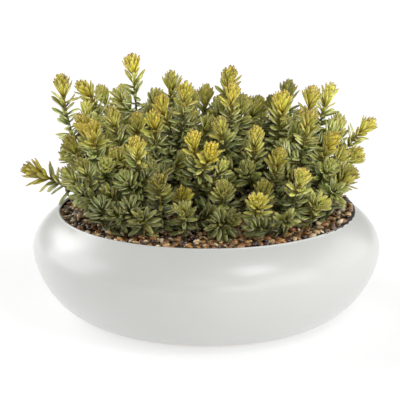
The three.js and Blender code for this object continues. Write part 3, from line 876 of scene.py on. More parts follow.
@dataclass
class TopDressing:
    """Pea gravel over the soil: a bed of grit with pebbles lying on it, one by one."""

    pitch: float = 5.3 * MM
    shake: float = 0.42
    spare_columns: int = 8
    reach: float = 129.4 * MM
    small: float = 2.1 * MM
    large: float = 4.2 * MM
    slimming: Span = (0.85, 1.0)
    tilt: float = 0.28
    lift_mm: Span = (0.1, 2.9)
    shapes: int = 5
    roundness: float = 0.85
    unevenness: float = 0.22
    length_step: float = 0.12
    flattest: float = 0.62
    flat_step: float = 0.07
    edge_stones: int = 150
    seed: int = 31
    heap_start: float = 96.0 * MM
    heap_left: float = 1.2 * MM
    heap_right: float = 8.0 * MM
    bed_radius: float = 130.5 * MM
    bed_thickness: float = 3.0 * MM
    bed_rings: int = 22
    bed_sides: int = 64

    def surface(self, x: float, y: float) -> float:
        """Gives the bed's height, which is heaped against the wall and more so on the right.

        Args:
            x: Place along X.
            y: Place along Y.

        Returns:
            The height there.
        """
        outward = max(0.0, math.hypot(x, y) - self.heap_start) / (self.reach - self.heap_start)
        heap = self.heap_left + (self.heap_right - self.heap_left) * (0.5 + 0.5 * x / self.reach)
        return float(gravel_height(x, y)) + heap * min(1.0, outward)

    def pebble_shape(self, order: int) -> Shape:
        """Models one pebble of about unit radius, each a little longer or flatter than the last.

        Args:
            order: Which of the shapes it is.

        Returns:
            Its corners and its triangles.
        """
        piece = open_primitive(bpy.ops.mesh.primitive_cube_add, size=2.0)
        bpy.ops.mesh.subdivide(number_cuts=1)
        bpy.ops.transform.tosphere(value=self.roundness)
        bpy.ops.transform.vertex_random(offset=self.unevenness, seed=order + 3)
        length = 1.0 + self.length_step * (order % 4)
        bpy.ops.transform.resize(value=(length, 1.0, self.flattest + self.flat_step * (order % 3)))
        bpy.ops.object.mode_set(mode="OBJECT")
        corners, faces = as_arrays(piece)
        corners /= np.abs(corners[:, :2]).max()
        return corners, faces

    def bed(self) -> Piece:
        """Models the grit under the pebbles as a mounded disc.

        Returns:
            The bed.
        """
        add = bpy.ops.mesh.primitive_circle_add
        piece = open_primitive(add, vertices=self.bed_sides, radius=self.bed_radius, fill_type="NOTHING")
        piece.name = "gravel_bed"
        still = {"value": ORIGIN}
        for ring in range(self.bed_rings, 0, -1):
            bpy.ops.mesh.extrude_edges_move(MESH_OT_extrude_edges_indiv={}, TRANSFORM_OT_translate=still)
            share = (ring - 1) / ring
            if ring > 1:
                bpy.ops.transform.resize(value=(share, share, 1.0), center_override=ORIGIN)
        bpy.ops.mesh.merge(type="CENTER")
        bpy.ops.mesh.select_all(action="SELECT")
        bpy.ops.mesh.normals_make_consistent(inside=False)
        bpy.ops.object.mode_set(mode="OBJECT")
        for vertex in piece.data.vertices:
            vertex.co.z = self.surface(vertex.co.x, vertex.co.y)
        piece.data.update()
        if piece.data.polygons[0].normal.z < 0:
            piece.data.flip_normals()
        deselect_all()
        piece.select_set(True)
        bpy.context.view_layer.objects.active = piece
        bpy.ops.object.modifier_add(type="SOLIDIFY")
        piece.modifiers[-1].thickness = self.bed_thickness
        piece.modifiers[-1].offset = -1.0
        bpy.ops.object.modifier_apply(modifier=piece.modifiers[-1].name)
        bpy.ops.object.shade_smooth()
        piece.data.materials.append(GravelBedFinish().build())
        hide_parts("gravel")
        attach(piece, ROOT_BODY)
        return piece

    def places(self, chance: Chance) -> Array:
        """Scatters the pebbles' middles on a shaken honeycomb, with a ring of them against the wall.

        Args:
            chance: The seeded source of chance.

        Returns:
            Their places as rows of x and y.
        """
        rows = int(self.reach / (self.pitch * math.sin(math.pi / 3))) + 1
        columns = range(-rows - self.spare_columns, rows + self.spare_columns + 1)
        spots = [
            ((column + (row % 2) / 2) * self.pitch, row * self.pitch * math.sin(math.pi / 3))
            for row in range(-rows, rows + 1)
            for column in columns
        ]
        places = np.array(spots) + chance.uniform(-self.shake, self.shake, (len(spots), 2)) * self.pitch
        places = places[np.hypot(places[:, 0], places[:, 1]) < self.reach - 0.5 * self.pitch]
        turns = np.arange(self.edge_stones) * 2 * math.pi / self.edge_stones
        edge = np.stack([np.cos(turns), np.sin(turns)], axis=1) * (self.reach - self.small)
        return np.concatenate([places, edge])

    def pebbles(self) -> list[Piece]:
        """Lays the pebbles on the bed.

        Returns:
            The pieces that hold them.
        """
        chance = np.random.default_rng(self.seed)
        shapes = [self.pebble_shape(order) for order in range(self.shapes)]
        finish = PebbleFinish().build()
        halves = (MeshParts(), MeshParts())
        for x, y in self.places(chance):
            corners, faces = shapes[chance.integers(self.shapes)]
            size = chance.uniform(self.small, self.large) * chance.uniform(*self.slimming)
            turn = chance.uniform(0, FULL_TURN)
            tilt = chance.normal(0, self.tilt, 2)
            cos, sin = math.cos(turn), math.sin(turn)
            spun = corners * size @ np.array([[cos, sin, 0], [-sin, cos, 0], [0, 0, 1]])
            spun[:, 2] += spun[:, 0] * tilt[0] + spun[:, 1] * tilt[1]
            middle = np.array([x, y, self.surface(x, y) + chance.uniform(*self.lift_mm) * MM])
            middle[:2] *= 1 - max(0.0, math.hypot(x, y) + size - self.reach) / math.hypot(x, y)
            half = halves[int(y > 0)]
            half.take(spun + middle, faces, 0, stone=chance.uniform(), vary=chance.uniform())
        pieces = []
        for side, parts in zip(("front", "rear"), halves):
            piece = parts.build(f"pebbles_{side}", [finish])
            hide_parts("gravel")
            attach(piece, ROOT_BODY)
            pieces.append(piece)
        return pieces

    def build(self) -> list[Piece]:
        """Models and dresses the bed and its pebbles."""
        return [self.bed(), *self.pebbles()]


class LeafForm(Enum):
    """The ways a leaf bends from base to tip, as its rise at the tip over its length."""

    INCURVED = 0.14
    STRAIGHT = 0.04
    SPREADING = -0.06
    RECURVED = -0.13


@dataclass
class LeafShape:
    """One fleshy oblong leaf along +X with its upper face towards +Z.

    Each ring of its section is a place, a width and a thickness, as shares of the leaf's own.
    """

    form: LeafForm
    width: float = 3.6 * MM
    thickness: float = 1.65 * MM
    sides: int = 6
    section: tuple[Point, ...] = (
        (0.0, 0.34, 0.6),
        (0.22, 0.68, 0.94),
        (0.54, 1.0, 1.0),
        (0.81, 0.86, 0.84),
        (0.95, 0.42, 0.44),
        (1.0, 0.12, 0.12),
    )

    def model(self) -> Shape:
        """Cuts a thin rod into rings and shapes each ring to the leaf's section.

        Returns:
            The leaf's corners and triangles.
        """
        piece = open_primitive(
            bpy.ops.mesh.primitive_cylinder_add,
            vertices=self.sides,
            radius=0.5,
            depth=1.0,
            end_fill_type="TRIFAN",
            location=(0.5, 0.0, 0.0),
            rotation=(0.0, math.pi / 2, 0.0),
        )
        bpy.ops.transform.rotate(value=math.pi / 2, orient_axis="X", center_override=ORIGIN)
        for share, _, _ in self.section[1:-1]:
            bpy.ops.mesh.select_all(action="SELECT")
            bpy.ops.mesh.bisect(plane_co=(share, 0.0, 0.0), plane_no=(1.0, 0.0, 0.0))
        for share, width, thickness in self.section:
            select_slice(piece, share)
            size = (1.0, width * self.width, thickness * self.thickness)
            bpy.ops.transform.resize(value=size, center_override=(share, 0.0, 0.0))
            bpy.ops.transform.translate(value=(0.0, 0.0, self.form.value * LEAF_LENGTH * share**2))
        bpy.ops.mesh.select_all(action="SELECT")
        bpy.ops.transform.resize(value=(LEAF_LENGTH, 1.0, 1.0), center_override=ORIGIN)
        bpy.ops.object.mode_set(mode="OBJECT")
        return as_arrays(piece)


class ShootKind(Enum):
    """The kinds of shoot, with the share of the stem's thickness at its base."""

    STEM = 1.0
    FORK = 0.85
    SIDE = 0.8
    TWIG = 0.65


@dataclass
class Shoot:
    """One shoot from its foot to the base of its crown, as a line with a frame at each step."""

    points: Array
    gold: float
    kind: ShootKind
    step: float = 0.5 * MM
    spots: Array = field(init=False)
    along: Array = field(init=False)
    side: Array = field(init=False)

    def __post_init__(self) -> None:
        """Spaces the line evenly and carries one side direction along it."""
        gaps = np.linalg.norm(np.diff(self.points, axis=0), axis=1)
        reach = np.concatenate([[0.0], np.cumsum(gaps)])
        stations = np.arange(0.0, reach[-1], self.step)
        self.spots = np.stack([np.interp(stations, reach, self.points[:, k]) for k in range(3)], axis=1)
        slope = np.gradient(self.spots, axis=0)
        self.along = slope / np.linalg.norm(slope, axis=1)[:, None]
        side = np.cross([0.0, 1.0, 0.0], self.along[0])
        sides = []
        for direction in self.along:
            side = side - direction * side.dot(direction)
            side = side / np.linalg.norm(side)
            sides.append(side)
        self.side = np.array(sides)

    @property
    def length(self) -> float:
        """The shoot's length."""
        return (len(self.spots) - 1) * self.step

    def frame(self, reach: float) -> tuple[Array, Array, Array, Array]:
        """Gives the place and three directions, along and across, at a distance from the shoot's foot."""
        i = int(min(len(self.spots) - 1, max(0, round(reach / self.step))))
        return self.spots[i], self.along[i], self.side[i], np.cross(self.along[i], self.side[i])


@dataclass(frozen=True)
class LeafSpot:
    """Where one leaf grows on its shoot, and how."""

    reach: float
    rise: float
    size: float
    to_tip: float
    in_head: bool


def bent_line(start: Array, bend: Array, end: Array, count: int = 60) -> Array:
    """Gives points on a curve from its start to its end that leans towards its bend."""
    share = np.linspace(0.0, 1.0, count)[:, None]
    return (1 - share) ** 2 * start + 2 * share * (1 - share) * bend + share**2 * end


def crown_base(bend: Array, top: Array) -> Array:
    """Gives the point below the top of a head where its crown starts."""
    return top - (top - bend) / np.linalg.norm(top - bend) * HEAD_CROWN


@dataclass
class Crowd:
    """Points on the leaves and stems placed so far, so that those of other shoots keep clear of them."""

    gap: float = 1.35 * MM
    shares: tuple[float, ...] = (0.15, 0.35, 0.55, 0.75, 0.95)
    gravel_room: float = 2.2 * MM
    rim_room: float = 10.0 * MM
    rim_reach: float = 109.0 * MM
    cell: float = 6.0 * MM
    cells: dict[tuple[int, int, int], list[tuple[float, float, float, int]]] = field(default_factory=dict)

    def add(self, points: Array, owner: int) -> None:
        """Remembers points of one shoot."""
        for point, key in zip(points, np.floor(points / self.cell).astype(int)):
            self.cells.setdefault(tuple(key), []).append((*point, owner))

    def leaf_points(self, base: Array, reach: Array) -> Array:
        """Gives points along a leaf from its base, with its whole reach as a vector."""
        return base + np.array(self.shares)[:, None] * reach

    def in_opening(self, point: Array) -> bool:
        """Tells whether a point is in one of the dark openings between the leafy columns."""
        return bool((np.linalg.norm(OPENINGS[:, :3] - point, axis=1) < OPENINGS[:, 3]).any())

    def is_free(self, points: Array, tip: Array, owner: int) -> bool:
        """Tells whether a leaf keeps clear of the gravel, the rim and other shoots.

        Args:
            points: Points along the leaf.
            tip: Its tip.
            owner: The number of its shoot.

        Returns:
            True if it is clear.
        """
        over_rim = math.hypot(tip[0], tip[1]) > self.rim_reach and tip[2] < POT_HEIGHT + self.rim_room
        if over_rim or tip[2] < gravel_height(tip[0], tip[1]) + self.gravel_room or self.in_opening(tip):
            return False
        low = np.floor((points.min(axis=0) - self.gap) / self.cell).astype(int)
        high = np.floor((points.max(axis=0) + self.gap) / self.cell).astype(int)
        near = []
        for i in range(low[0], high[0] + 1):
            for j in range(low[1], high[1] + 1):
                for k in range(low[2], high[2] + 1):
                    near.extend(row for row in self.cells.get((i, j, k), ()) if row[3] != owner)
        if not near:
            return True
        others = np.array(near)[:, :3]
        gaps = np.linalg.norm(others[:, None, :] - points[None, :, :], axis=2)
        return bool(gaps.min() > self.gap)


@dataclass(frozen=True)
class Rosette:
    """The crown of leaves at a shoot's tip, which opens out on the low shoots and droops on the dull ones.

    Leaves rise by degrees over the level across the shoot, the steepest at its tip, and the fans are how
    much less the outermost rise.
    """

    leaves: int = 33
    twig_leaves: int = 16
    twig_length: float = 7.0 * MM
    twig_size: float = 0.92
    thinning: int = 2
    tip_gap: float = 0.5 * MM
    crowding: float = 0.85
    open_below: float = 140.0 * MM
    open_over: float = 30.0 * MM
    dull_gold: float = 0.29
    steepest: float = 84.0
    fan: float = 32.0
    open_fan: float = 20.0
    droop_fan: float = 48.0
    fan_power: float = 0.75
    shake: float = 5.0
    droop_shake: float = 6.0
    inner_size: float = 0.82
    outer_gain: float = 0.36
    droop_gain: float = 0.03
    size_shake: float = 0.06
    spread_share: float = 0.6

    def plan(self, shoot: Shoot, chance: Chance) -> list[LeafSpot]:
        """Works out the leaves of the rosette.

        Args:
            shoot: The shoot.
            chance: The seeded source of chance.

        Returns:
            The places of its leaves.
        """
        is_twig = shoot.kind is ShootKind.TWIG
        openness = held((self.open_below - shoot.spots[-1][2]) / self.open_over)
        droop = openness if shoot.gold < self.dull_gold and not is_twig else 0.0
        length = self.twig_length if is_twig else HEAD_LENGTH
        fewer = int(round(self.thinning * openness + self.thinning * droop))
        count = (self.twig_leaves if is_twig else self.leaves) - fewer
        fan = self.fan + self.open_fan * openness + self.droop_fan * droop
        plan = []
        for i in range(count):
            share = (i + 0.5) / count
            to_tip = length * share**self.crowding + self.tip_gap
            shake = chance.normal(0, self.shake + self.droop_shake * droop)
            rise = self.steepest - fan * share**self.fan_power + shake
            size = self.inner_size + self.outer_gain * share**0.5 + self.droop_gain * droop
            size += chance.uniform(-self.size_shake, self.size_shake)
            size *= self.twig_size if is_twig else 1.0
            is_cupped = not is_twig and share < 1.0 - self.spread_share * droop
            plan.append(LeafSpot(shoot.length - to_tip, math.radians(rise), size, to_tip, is_cupped))
        return plan


@dataclass(frozen=True)
class Foliage:
    """The leaves below a shoot's rosette, which stand up near it and hang in the shade, by degrees."""

    pitch: float = 1.1 * MM
    pitch_shake: Span = (0.75, 1.25)
    top_gap_mm: Span = (1.5, 3.0)
    bare_stem: float = 25.0 * MM
    bare_fork: float = 2.5 * MM
    level_after: float = 42.0 * MM
    shade_level: float = 128.0 * MM
    shade_over: float = 24.0 * MM
    shade_reach: float = 64.0 * MM
    shade_loosening: float = 2.0
    top_rise: float = 50.0
    level_fall: float = 53.0
    shade_fall: float = 24.0
    shake: float = 14.0
    sizes: Span = (0.88, 1.14)
    top_closeness: float = 0.8
    close_share: float = 0.4

    def plan(self, shoot: Shoot, looseness: float, chance: Chance) -> list[LeafSpot]:
        """Works out the leaves from the rosette down to the shoot's foot.

        Args:
            shoot: The shoot.
            looseness: How much further apart its leaves stand than most.
            chance: The seeded source of chance.

        Returns:
            The places of its leaves.
        """
        bare = self.bare_stem if shoot.kind is ShootKind.STEM else self.bare_fork
        plan = []
        to_tip = HEAD_LENGTH + chance.uniform(*self.top_gap_mm) * MM
        while to_tip < shoot.length - bare:
            x, y, z = shoot.frame(shoot.length - to_tip)[0]
            lower = min(1.0, (to_tip - HEAD_LENGTH) / self.level_after)
            fall = self.level_fall * lower
            shade = self.shade_fall * held((self.shade_level - z) / self.shade_over)
            rise = self.top_rise - fall - shade + chance.normal(0, self.shake)
            size = chance.uniform(*self.sizes)
            plan.append(LeafSpot(shoot.length - to_tip, math.radians(rise), size, to_tip, False))
            is_hidden = z < self.shade_level and math.hypot(x, y) < self.shade_reach
            loose = looseness * (self.shade_loosening if is_hidden else 1.0)
            close = self.top_closeness + (1.0 - self.top_closeness) * min(1.0, lower / self.close_share)
            to_tip += self.pitch * loose * close * chance.uniform(*self.pitch_shake)
        return plan


@dataclass(frozen=True)
class LeafToneAndPaintedLight:
    """Painted light and painted shade on the leaves, with each stem's own tone: pale on the flanks, dark near
    the gravel and around the openings, and in spots.
    """

    crown_depth: float = 22.0 * MM
    low_level: float = 116.0 * MM
    low_over: float = 18.0 * MM
    low_crown_painted_shade: float = 0.34
    low: float = 0.42
    shade: float = 0.26
    shade_radii: float = 2.1
    painted_flank_light: float = 0.45
    right_start: float = 65.0 * MM
    left_start: float = 45.0 * MM
    flank_full: float = 90.0 * MM
    flank_level: float = 110.0 * MM
    flank_over: float = 45.0 * MM
    base_change: float = 0.03
    spot_radii: float = 1.5

    def change(self, stem: str, base: Array, to_tip: float, kind: ShootKind) -> float:
        """Works out one leaf's change of tone, most of it painted light and painted shade.

        Args:
            stem: The stem's name.
            base: Where the leaf grows.
            to_tip: How far below the tip of its shoot it grows.
            kind: The kind of its shoot.

        Returns:
            The change.
        """
        # Painted shade on leaves low down, near the gravel, in the rosettes as well
        low = held((self.low_level - base[2]) / self.low_over)
        if to_tip < self.crown_depth and kind in (ShootKind.STEM, ShootKind.FORK):
            return TOP_TONE_AND_PAINTED_LIGHT.get(stem, 0.0) - self.low_crown_painted_shade * low
        # Painted shade on leaves near the dark openings
        depths = np.linalg.norm(OPENINGS[:, :3] - base, axis=1) / OPENINGS[:, 3]
        shade = held(self.shade_radii - depths.min())
        # Painted light on the outer flanks of the bush, higher up
        start = self.right_start if base[0] > 0 else self.left_start
        painted_flank_light = held((abs(base[0]) - start) / (self.flank_full - start))
        height = held((base[2] - self.flank_level) / self.flank_over)
        # Spots of painted light and painted shade
        distances = np.linalg.norm(PAINTED_LIGHT_AND_SHADE_SPOTS[:, :3] * MM - base, axis=1)
        local = (held(self.spot_radii - distances / (PAINTED_LIGHT_AND_SHADE_SPOTS[:, 3] * MM)) * PAINTED_LIGHT_AND_SHADE_SPOTS[:, 4]).sum()
        return self.painted_flank_light * painted_flank_light * height - self.base_change - self.low * low - self.shade * shade + local


@dataclass
class LeafyStem:
    """One stem with its side shoots, its leaves and its golden rosettes."""

    name: str
    root: Span
    heads: list[Head]
    number: int
    most_shoots: int = 100
    base_radius: float = 1.25 * MM
    tip_radius: float = 0.8 * MM
    turned_out: float = 0.75
    head_turned_out: float = 0.4
    side_share: float = 0.35
    window_shift: float = 45.0 * MM
    tube_rounding: int = 1
    tube_step: float = 5.0 * MM
    knuckle: float = 0.1
    young_length: float = 60.0 * MM
    golden_length: float = 30.0 * MM
    collar_points: int = 12
    bend_share: float = 0.5
    bend_level: float = 0.55
    nodding_lean: float = 0.25
    nod_level: float = 0.4
    fork_level: float = 0.45
    lean_share: float = 0.4
    fork_bend_level: float = 0.35
    attempts: int = 7
    swing: float = 0.3
    head_swing: float = 0.1
    next_swing: float = 0.2
    next_lift: float = 0.1
    seat: float = 0.5
    roll: float = 0.16
    twig_roll: float = 0.38
    width: float = 1.1
    head_width: float = 0.9
    width_shake: Span = (0.9, 1.1)
    head_forms: tuple[int, int] = (0, 2)
    lower_forms: tuple[int, int] = (1, 4)
    gold_start: float = 6.0 * MM
    gold_over: float = 21.0 * MM
    gold_shake: float = 0.07
    light_shake: float = 0.13
    rosette: Rosette = Rosette()
    foliage: Foliage = Foliage()
    tone_and_painted_light: LeafToneAndPaintedLight = LeafToneAndPaintedLight()
    bulk: float = field(init=False)
    shoots: list[Shoot] = field(default_factory=list)
    parts: MeshParts = field(default_factory=MeshParts)

    def __post_init__(self) -> None:
        """Lays out the stem and its forks."""
        main = Shoot(self.main_line(), self.heads[0][4], ShootKind.STEM)
        self.shoots = [main]
        self.bulk = BULKS.get(self.name, 1.0)
        sides = SIDE_SHOOTS.get(self.name, ())
        for kind, heads in ((ShootKind.FORK, self.heads[1:]), (ShootKind.SIDE, sides)):
            self.shoots += [Shoot(self.fork_line(main, head), head[4], kind) for head in heads]

    def main_line(self) -> Array:
        """Draws the stem's line: straight up out of the soil, then one bend to the base of its crown.

        Returns:
            The points of its line.
        """
        x, y, z, lean, _ = self.heads[0]
        foot = np.array([self.root[0] * MM, self.root[1] * MM, STEM_FOOT])
        collar = np.array([foot[0], foot[1], STEM_CLEAR])
        top = np.array([x, y, z]) * MM
        bend = collar + (top - collar) * self.bend_share * lean
        nod = max(0.0, 1.0 - lean / self.nodding_lean)
        bend[2] = STEM_CLEAR + (top[2] - STEM_CLEAR) * (self.bend_level + self.nod_level * nod)
        straight = np.linspace(foot, collar, self.collar_points)[:-1]
        return np.concatenate([straight, bent_line(collar, bend, crown_base(bend, top))])

    def fork_line(self, main: Shoot, head: Head) -> Array:
        """Draws a fork's line, which leaves the stem below the level of its own head.

        Args:
            main: The stem's own shoot.
            head: The fork's head.

        Returns:
            The points of its line.
        """
        x, y, z, lean, _ = head
        top = np.array([x, y, z]) * MM
        fork_height = STEM_CLEAR + (top[2] - STEM_CLEAR) * self.fork_level
        fork = main.spots[int(np.argmax(main.spots[:, 2] > fork_height))]
        bend = fork + (top - fork) * (self.bend_share + self.lean_share * lean)
        bend[2] = fork[2] + (top[2] - fork[2]) * self.fork_bend_level
        return bent_line(fork, bend, crown_base(bend, top))

    def owner(self, order: int) -> int:
        """Gives the number that marks one of the stem's shoots."""
        return self.number * self.most_shoots + order

    def tube(self, shoot: Shoot) -> None:
        """Models the bare stem of a shoot as a thin tapered tube along a curve.

        Args:
            shoot: The shoot.
        """
        deselect_all()
        bpy.ops.curve.primitive_bezier_curve_add()
        curve = bpy.context.object.data
        curve.splines.clear()
        steps = max(4, int(shoot.length / self.tube_step))
        spline = curve.splines.new("POLY")
        spline.points.add(steps)
        thick = self.base_radius * shoot.kind.value
        for i, point in enumerate(spline.points):
            share = i / steps
            knuckle = 1.0 + self.knuckle * (i % 2)
            point.co = (*shoot.frame(share * shoot.length)[0], 1.0)
            point.radius = (thick + (self.tip_radius - thick) * share) * knuckle / thick
        curve.dimensions = "3D"
        curve.bevel_depth = thick
        curve.bevel_resolution = self.tube_rounding
        curve.use_fill_caps = True
        bpy.ops.object.convert(target="MESH")
        corners, faces = as_arrays(bpy.context.object)
        gaps = np.linalg.norm(corners[:, None, :] - shoot.spots[None, ::LINE_STRIDE, :], axis=2)
        to_tip = shoot.length - gaps.argmin(axis=1) * LINE_STRIDE * shoot.step
        young = held(1.0 - to_tip / self.young_length)
        gold = shoot.gold * held(1.0 - to_tip / self.golden_length)
        self.parts.take(corners, faces, 1, along=young, gold=gold, vary=0.5, light=0.5, edge=0.5)

    def head_plan(self, shoot: Shoot, chance: Chance) -> list[LeafSpot]:
        """Works out the leaves of a shoot's rosette."""
        return self.rosette.plan(shoot, chance)

    def foliage_plan(self, shoot: Shoot, chance: Chance) -> list[LeafSpot]:
        """Works out the leaves below a shoot's rosette."""
        return self.foliage.plan(shoot, LOOSE_STEMS.get(self.name, 1.0), chance)

    def grow(
        self,
        order: int,
        plan: list[LeafSpot],
        shapes: list[Shape],
        crowd: Crowd,
        chance: Chance,
    ) -> None:
        """Grows the planned leaves of one shoot, each where it keeps clear of the other shoots.

        Args:
            order: The shoot's order on the stem.
            plan: The places of the leaves.
            shapes: The modelled leaves.
            crowd: The points already taken.
            chance: The seeded source of chance.
        """
        shoot = self.shoots[order]
        turn = chance.uniform(0, FULL_TURN)
        for leaf_spot in plan:
            turn += GOLDEN_ANGLE + chance.normal(0, self.head_swing if leaf_spot.in_head else self.swing)
            spot, along, side, front = shoot.frame(leaf_spot.reach)
            for attempt in range(self.attempts):
                swing = turn + attempt * chance.normal(0, self.next_swing)
                lift = leaf_spot.rise + attempt * chance.normal(0, self.next_lift)
                out = side * math.cos(swing) + front * math.sin(swing)
                way = out * math.cos(lift) + along * math.sin(lift)
                base = spot + out * self.tip_radius * self.seat
                reach = way * leaf_spot.size * self.bulk * LEAF_LENGTH
                points = crowd.leaf_points(base, reach)
                if crowd.is_free(points, base + reach, self.owner(order)):
                    crowd.add(points, self.owner(order))
                    self.lay(shoot, leaf_spot, shapes, (base, way, np.cross(along, out)), chance)
                    break

    def lay(
        self,
        shoot: Shoot,
        leaf_spot: LeafSpot,
        shapes: list[Shape],
        frame: tuple[Array, Array, Array],
        chance: Chance,
    ) -> None:
        """Lays one leaf on its shoot, with its upper face turned a little to the outside of the bush.

        Args:
            shoot: The shoot.
            leaf_spot: How the leaf grows.
            shapes: The modelled leaves.
            frame: The leaf's base, the way it points and a direction across it.
            chance: The seeded source of chance.
        """
        base, way, level = frame
        in_head = leaf_spot.in_head
        outward = np.array([self.side_share * base[0], base[1] - self.window_shift, 0.0])
        outward /= max(1.0 * MM, math.hypot(outward[0], outward[1]))
        upper = np.cross(way, level) + (self.head_turned_out if in_head else self.turned_out) * outward
        across = np.cross(upper, way)
        across /= np.linalg.norm(across)
        upper = np.cross(way, across)
        roll = chance.normal(0, self.twig_roll if shoot.kind is ShootKind.TWIG else self.roll)
        across = across * math.cos(roll) + upper * math.sin(roll)
        upper = np.cross(way, across)
        leaf, faces = shapes[int(chance.integers(*(self.head_forms if in_head else self.lower_forms)))]
        size = leaf_spot.size * self.bulk
        width = size * chance.uniform(*self.width_shake) * (self.head_width if in_head else self.width)
        placed = base + leaf[:, :1] * size * way
        placed = placed + leaf[:, 1:2] * width * across + leaf[:, 2:] * width * upper
        fade = held(1.0 - (leaf_spot.to_tip - self.gold_start) / self.gold_over)
        gold = held(shoot.gold * fade + chance.normal(0, self.gold_shake))
        # The leaf's tone with its painted light and painted shade, carried in its light attribute
        tone = self.tone_and_painted_light.change(self.name, base, leaf_spot.to_tip, shoot.kind)
        light = held(0.5 + tone + chance.normal(0, self.light_shake))
        marks = {"along": leaf[:, 0] / LEAF_LENGTH, "edge": np.abs(leaf[:, 1]) / np.abs(leaf[:, 1]).max()}
        self.parts.take(placed, faces, 0, gold=gold, vary=chance.uniform(), light=light, **marks)


@dataclass
class Twigs:
    """Short leafy side twigs, which fill the room between the stems."""

    spacing: float = 12.0 * MM
    shift: Span = (-0.2, 0.6)
    lengths: Span = (17.0 * MM, 32.0 * MM)
    attempts: int = 16
    least_gap: float = 5.8 * MM
    low_gap: float = 15.5 * MM
    collar_room: float = 1.0 * MM
    fork_room: float = 4.0 * MM
    below_head: float = 24.0 * MM
    reach_limit: float = 112.0 * MM
    low_level: float = 116.0 * MM
    sideways_level: float = 150.0 * MM
    sideways_swing: float = 0.8
    low_rise: Span = (0.15, 0.7)
    high_rise: Span = (0.5, 0.92)
    gold: Span = (0.05, 0.55)
    least_gold: float = 0.4
    least_run: float = 0.05
    bend_out: float = 0.8
    bend_up: float = 0.15
    line_points: int = 30
    stride: int = 6
    seed: int = 7
    crowd: Crowd = field(default_factory=Crowd)

    def curve(self, fork: Array, out: Array, rise: float, length: float) -> Array:
        """Draws a twig's line, which leaves the stem sideways and turns up.

        Args:
            fork: Where it leaves.
            out: The level direction that it leaves in.
            rise: The share of its length that it rises.
            length: Its length.

        Returns:
            The points of its line.
        """
        up = np.array([0.0, 0.0, 1.0])
        run = math.sqrt(max(self.least_run, 1.0 - rise**2))
        bend = fork + (out * self.bend_out * run + up * self.bend_up * rise) * length
        return bent_line(fork, bend, fork + (out * run + up * rise) * length, self.line_points)

    def grow(self, stems: list[LeafyStem]) -> None:
        """Adds twigs to the stems, each where it has the most room.

        Args:
            stems: The stems with their own shoots.
        """
        chance = np.random.default_rng(self.seed)
        for stem in stems:
            for parent in list(stem.shoots):
                is_stem = parent.kind is ShootKind.STEM
                low = STEM_CLEAR - STEM_FOOT + self.collar_room if is_stem else self.fork_room
                high = parent.length - self.below_head
                count = int(max(0.0, high - low) / self.spacing) + 2 * is_stem
                for k in range(count):
                    reach = low + (high - low) * (k + chance.uniform(*self.shift)) / max(1, count)
                    twig = self.best(stems, parent, max(low, reach), chance)
                    if twig is not None:
                        stem.shoots.append(twig)

    def best(self, stems: list[LeafyStem], parent: Shoot, reach: float, chance: Chance) -> Shoot | None:
        """Tries several directions and keeps the one with the most room.

        Args:
            stems: All the stems.
            parent: The shoot that the twig grows from.
            reach: Its distance along that shoot.
            chance: The seeded source of chance.

        Returns:
            The twig, or None where there is no room.
        """
        fork = parent.frame(reach)[0]
        is_low = fork[2] < self.low_level
        lines = np.concatenate([shoot.spots[:: self.stride] for stem in stems for shoot in stem.shoots])
        ceiling = max(parent.spots[-1][2] - self.below_head, self.low_level)
        best_gap = self.least_gap if fork[2] > self.low_level else self.low_gap
        best = None
        for _ in range(self.attempts):
            turn = chance.uniform(-self.sideways_swing, self.sideways_swing) + math.pi * chance.integers(2)
            if fork[2] >= self.sideways_level:
                turn = chance.uniform(0, FULL_TURN)
            rise = chance.uniform(*(self.low_rise if is_low else self.high_rise))
            length = chance.uniform(*self.lengths)
            line = self.curve(fork, np.array([math.cos(turn), math.sin(turn), 0.0]), rise, length)
            tip = line[-1]
            is_outside = math.hypot(tip[0], tip[1]) > self.reach_limit or tip[2] > ceiling
            if is_outside or self.crowd.in_opening(tip):
                continue
            outer = line[len(line) // 2 :]
            gap = np.linalg.norm(lines[:, None, :] - outer[None, ::LINE_STRIDE, :], axis=2).min()
            if gap > best_gap:
                best_gap = gap
                gold = chance.uniform(*self.gold) * max(self.least_gold, parent.gold)
                best = Shoot(line, gold, ShootKind.TWIG)
        return best


@dataclass
class Bush:
    """All the leafy stems."""

    seed: int = 100

    def build(self) -> list[Piece]:
        """Grows every stem as its own piece in place of its solid.

        Returns:
            The pieces.
        """
        rows = enumerate(STEMS.items())
        stems = [LeafyStem(name, root, heads, order) for order, (name, (root, *heads)) in rows]
        Twigs().grow(stems)
        self.leaf(stems)
        materials = [LeafFinish().build(), StemFinish().build()]
        pieces = []
        for stem in stems:
            node = f"stem_{stem.name}"
            piece = stem.parts.build(f"leafy_{node}", materials)
            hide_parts(node)
            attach(piece, ROOT_BODY)
            pieces.append(piece)
        return pieces

    def leaf(self, stems: list[LeafyStem]) -> None:
        """Grows the tubes, then every rosette, then the leaves below them.

        Args:
            stems: The stems with all their shoots.
        """
        chance = np.random.default_rng(self.seed)
        shapes = [LeafShape(form).model() for form in LeafForm]
        crowd = Crowd()
        for stem in stems:
            for order, shoot in enumerate(stem.shoots):
                stem.tube(shoot)
                crowd.add(shoot.spots[::LINE_STRIDE], stem.owner(order))
        for plan in (LeafyStem.head_plan, LeafyStem.foliage_plan):
            for stem in stems:
                for order, shoot in enumerate(stem.shoots):
                    stem.grow(order, plan(stem, shoot, chance), shapes, crowd, chance)


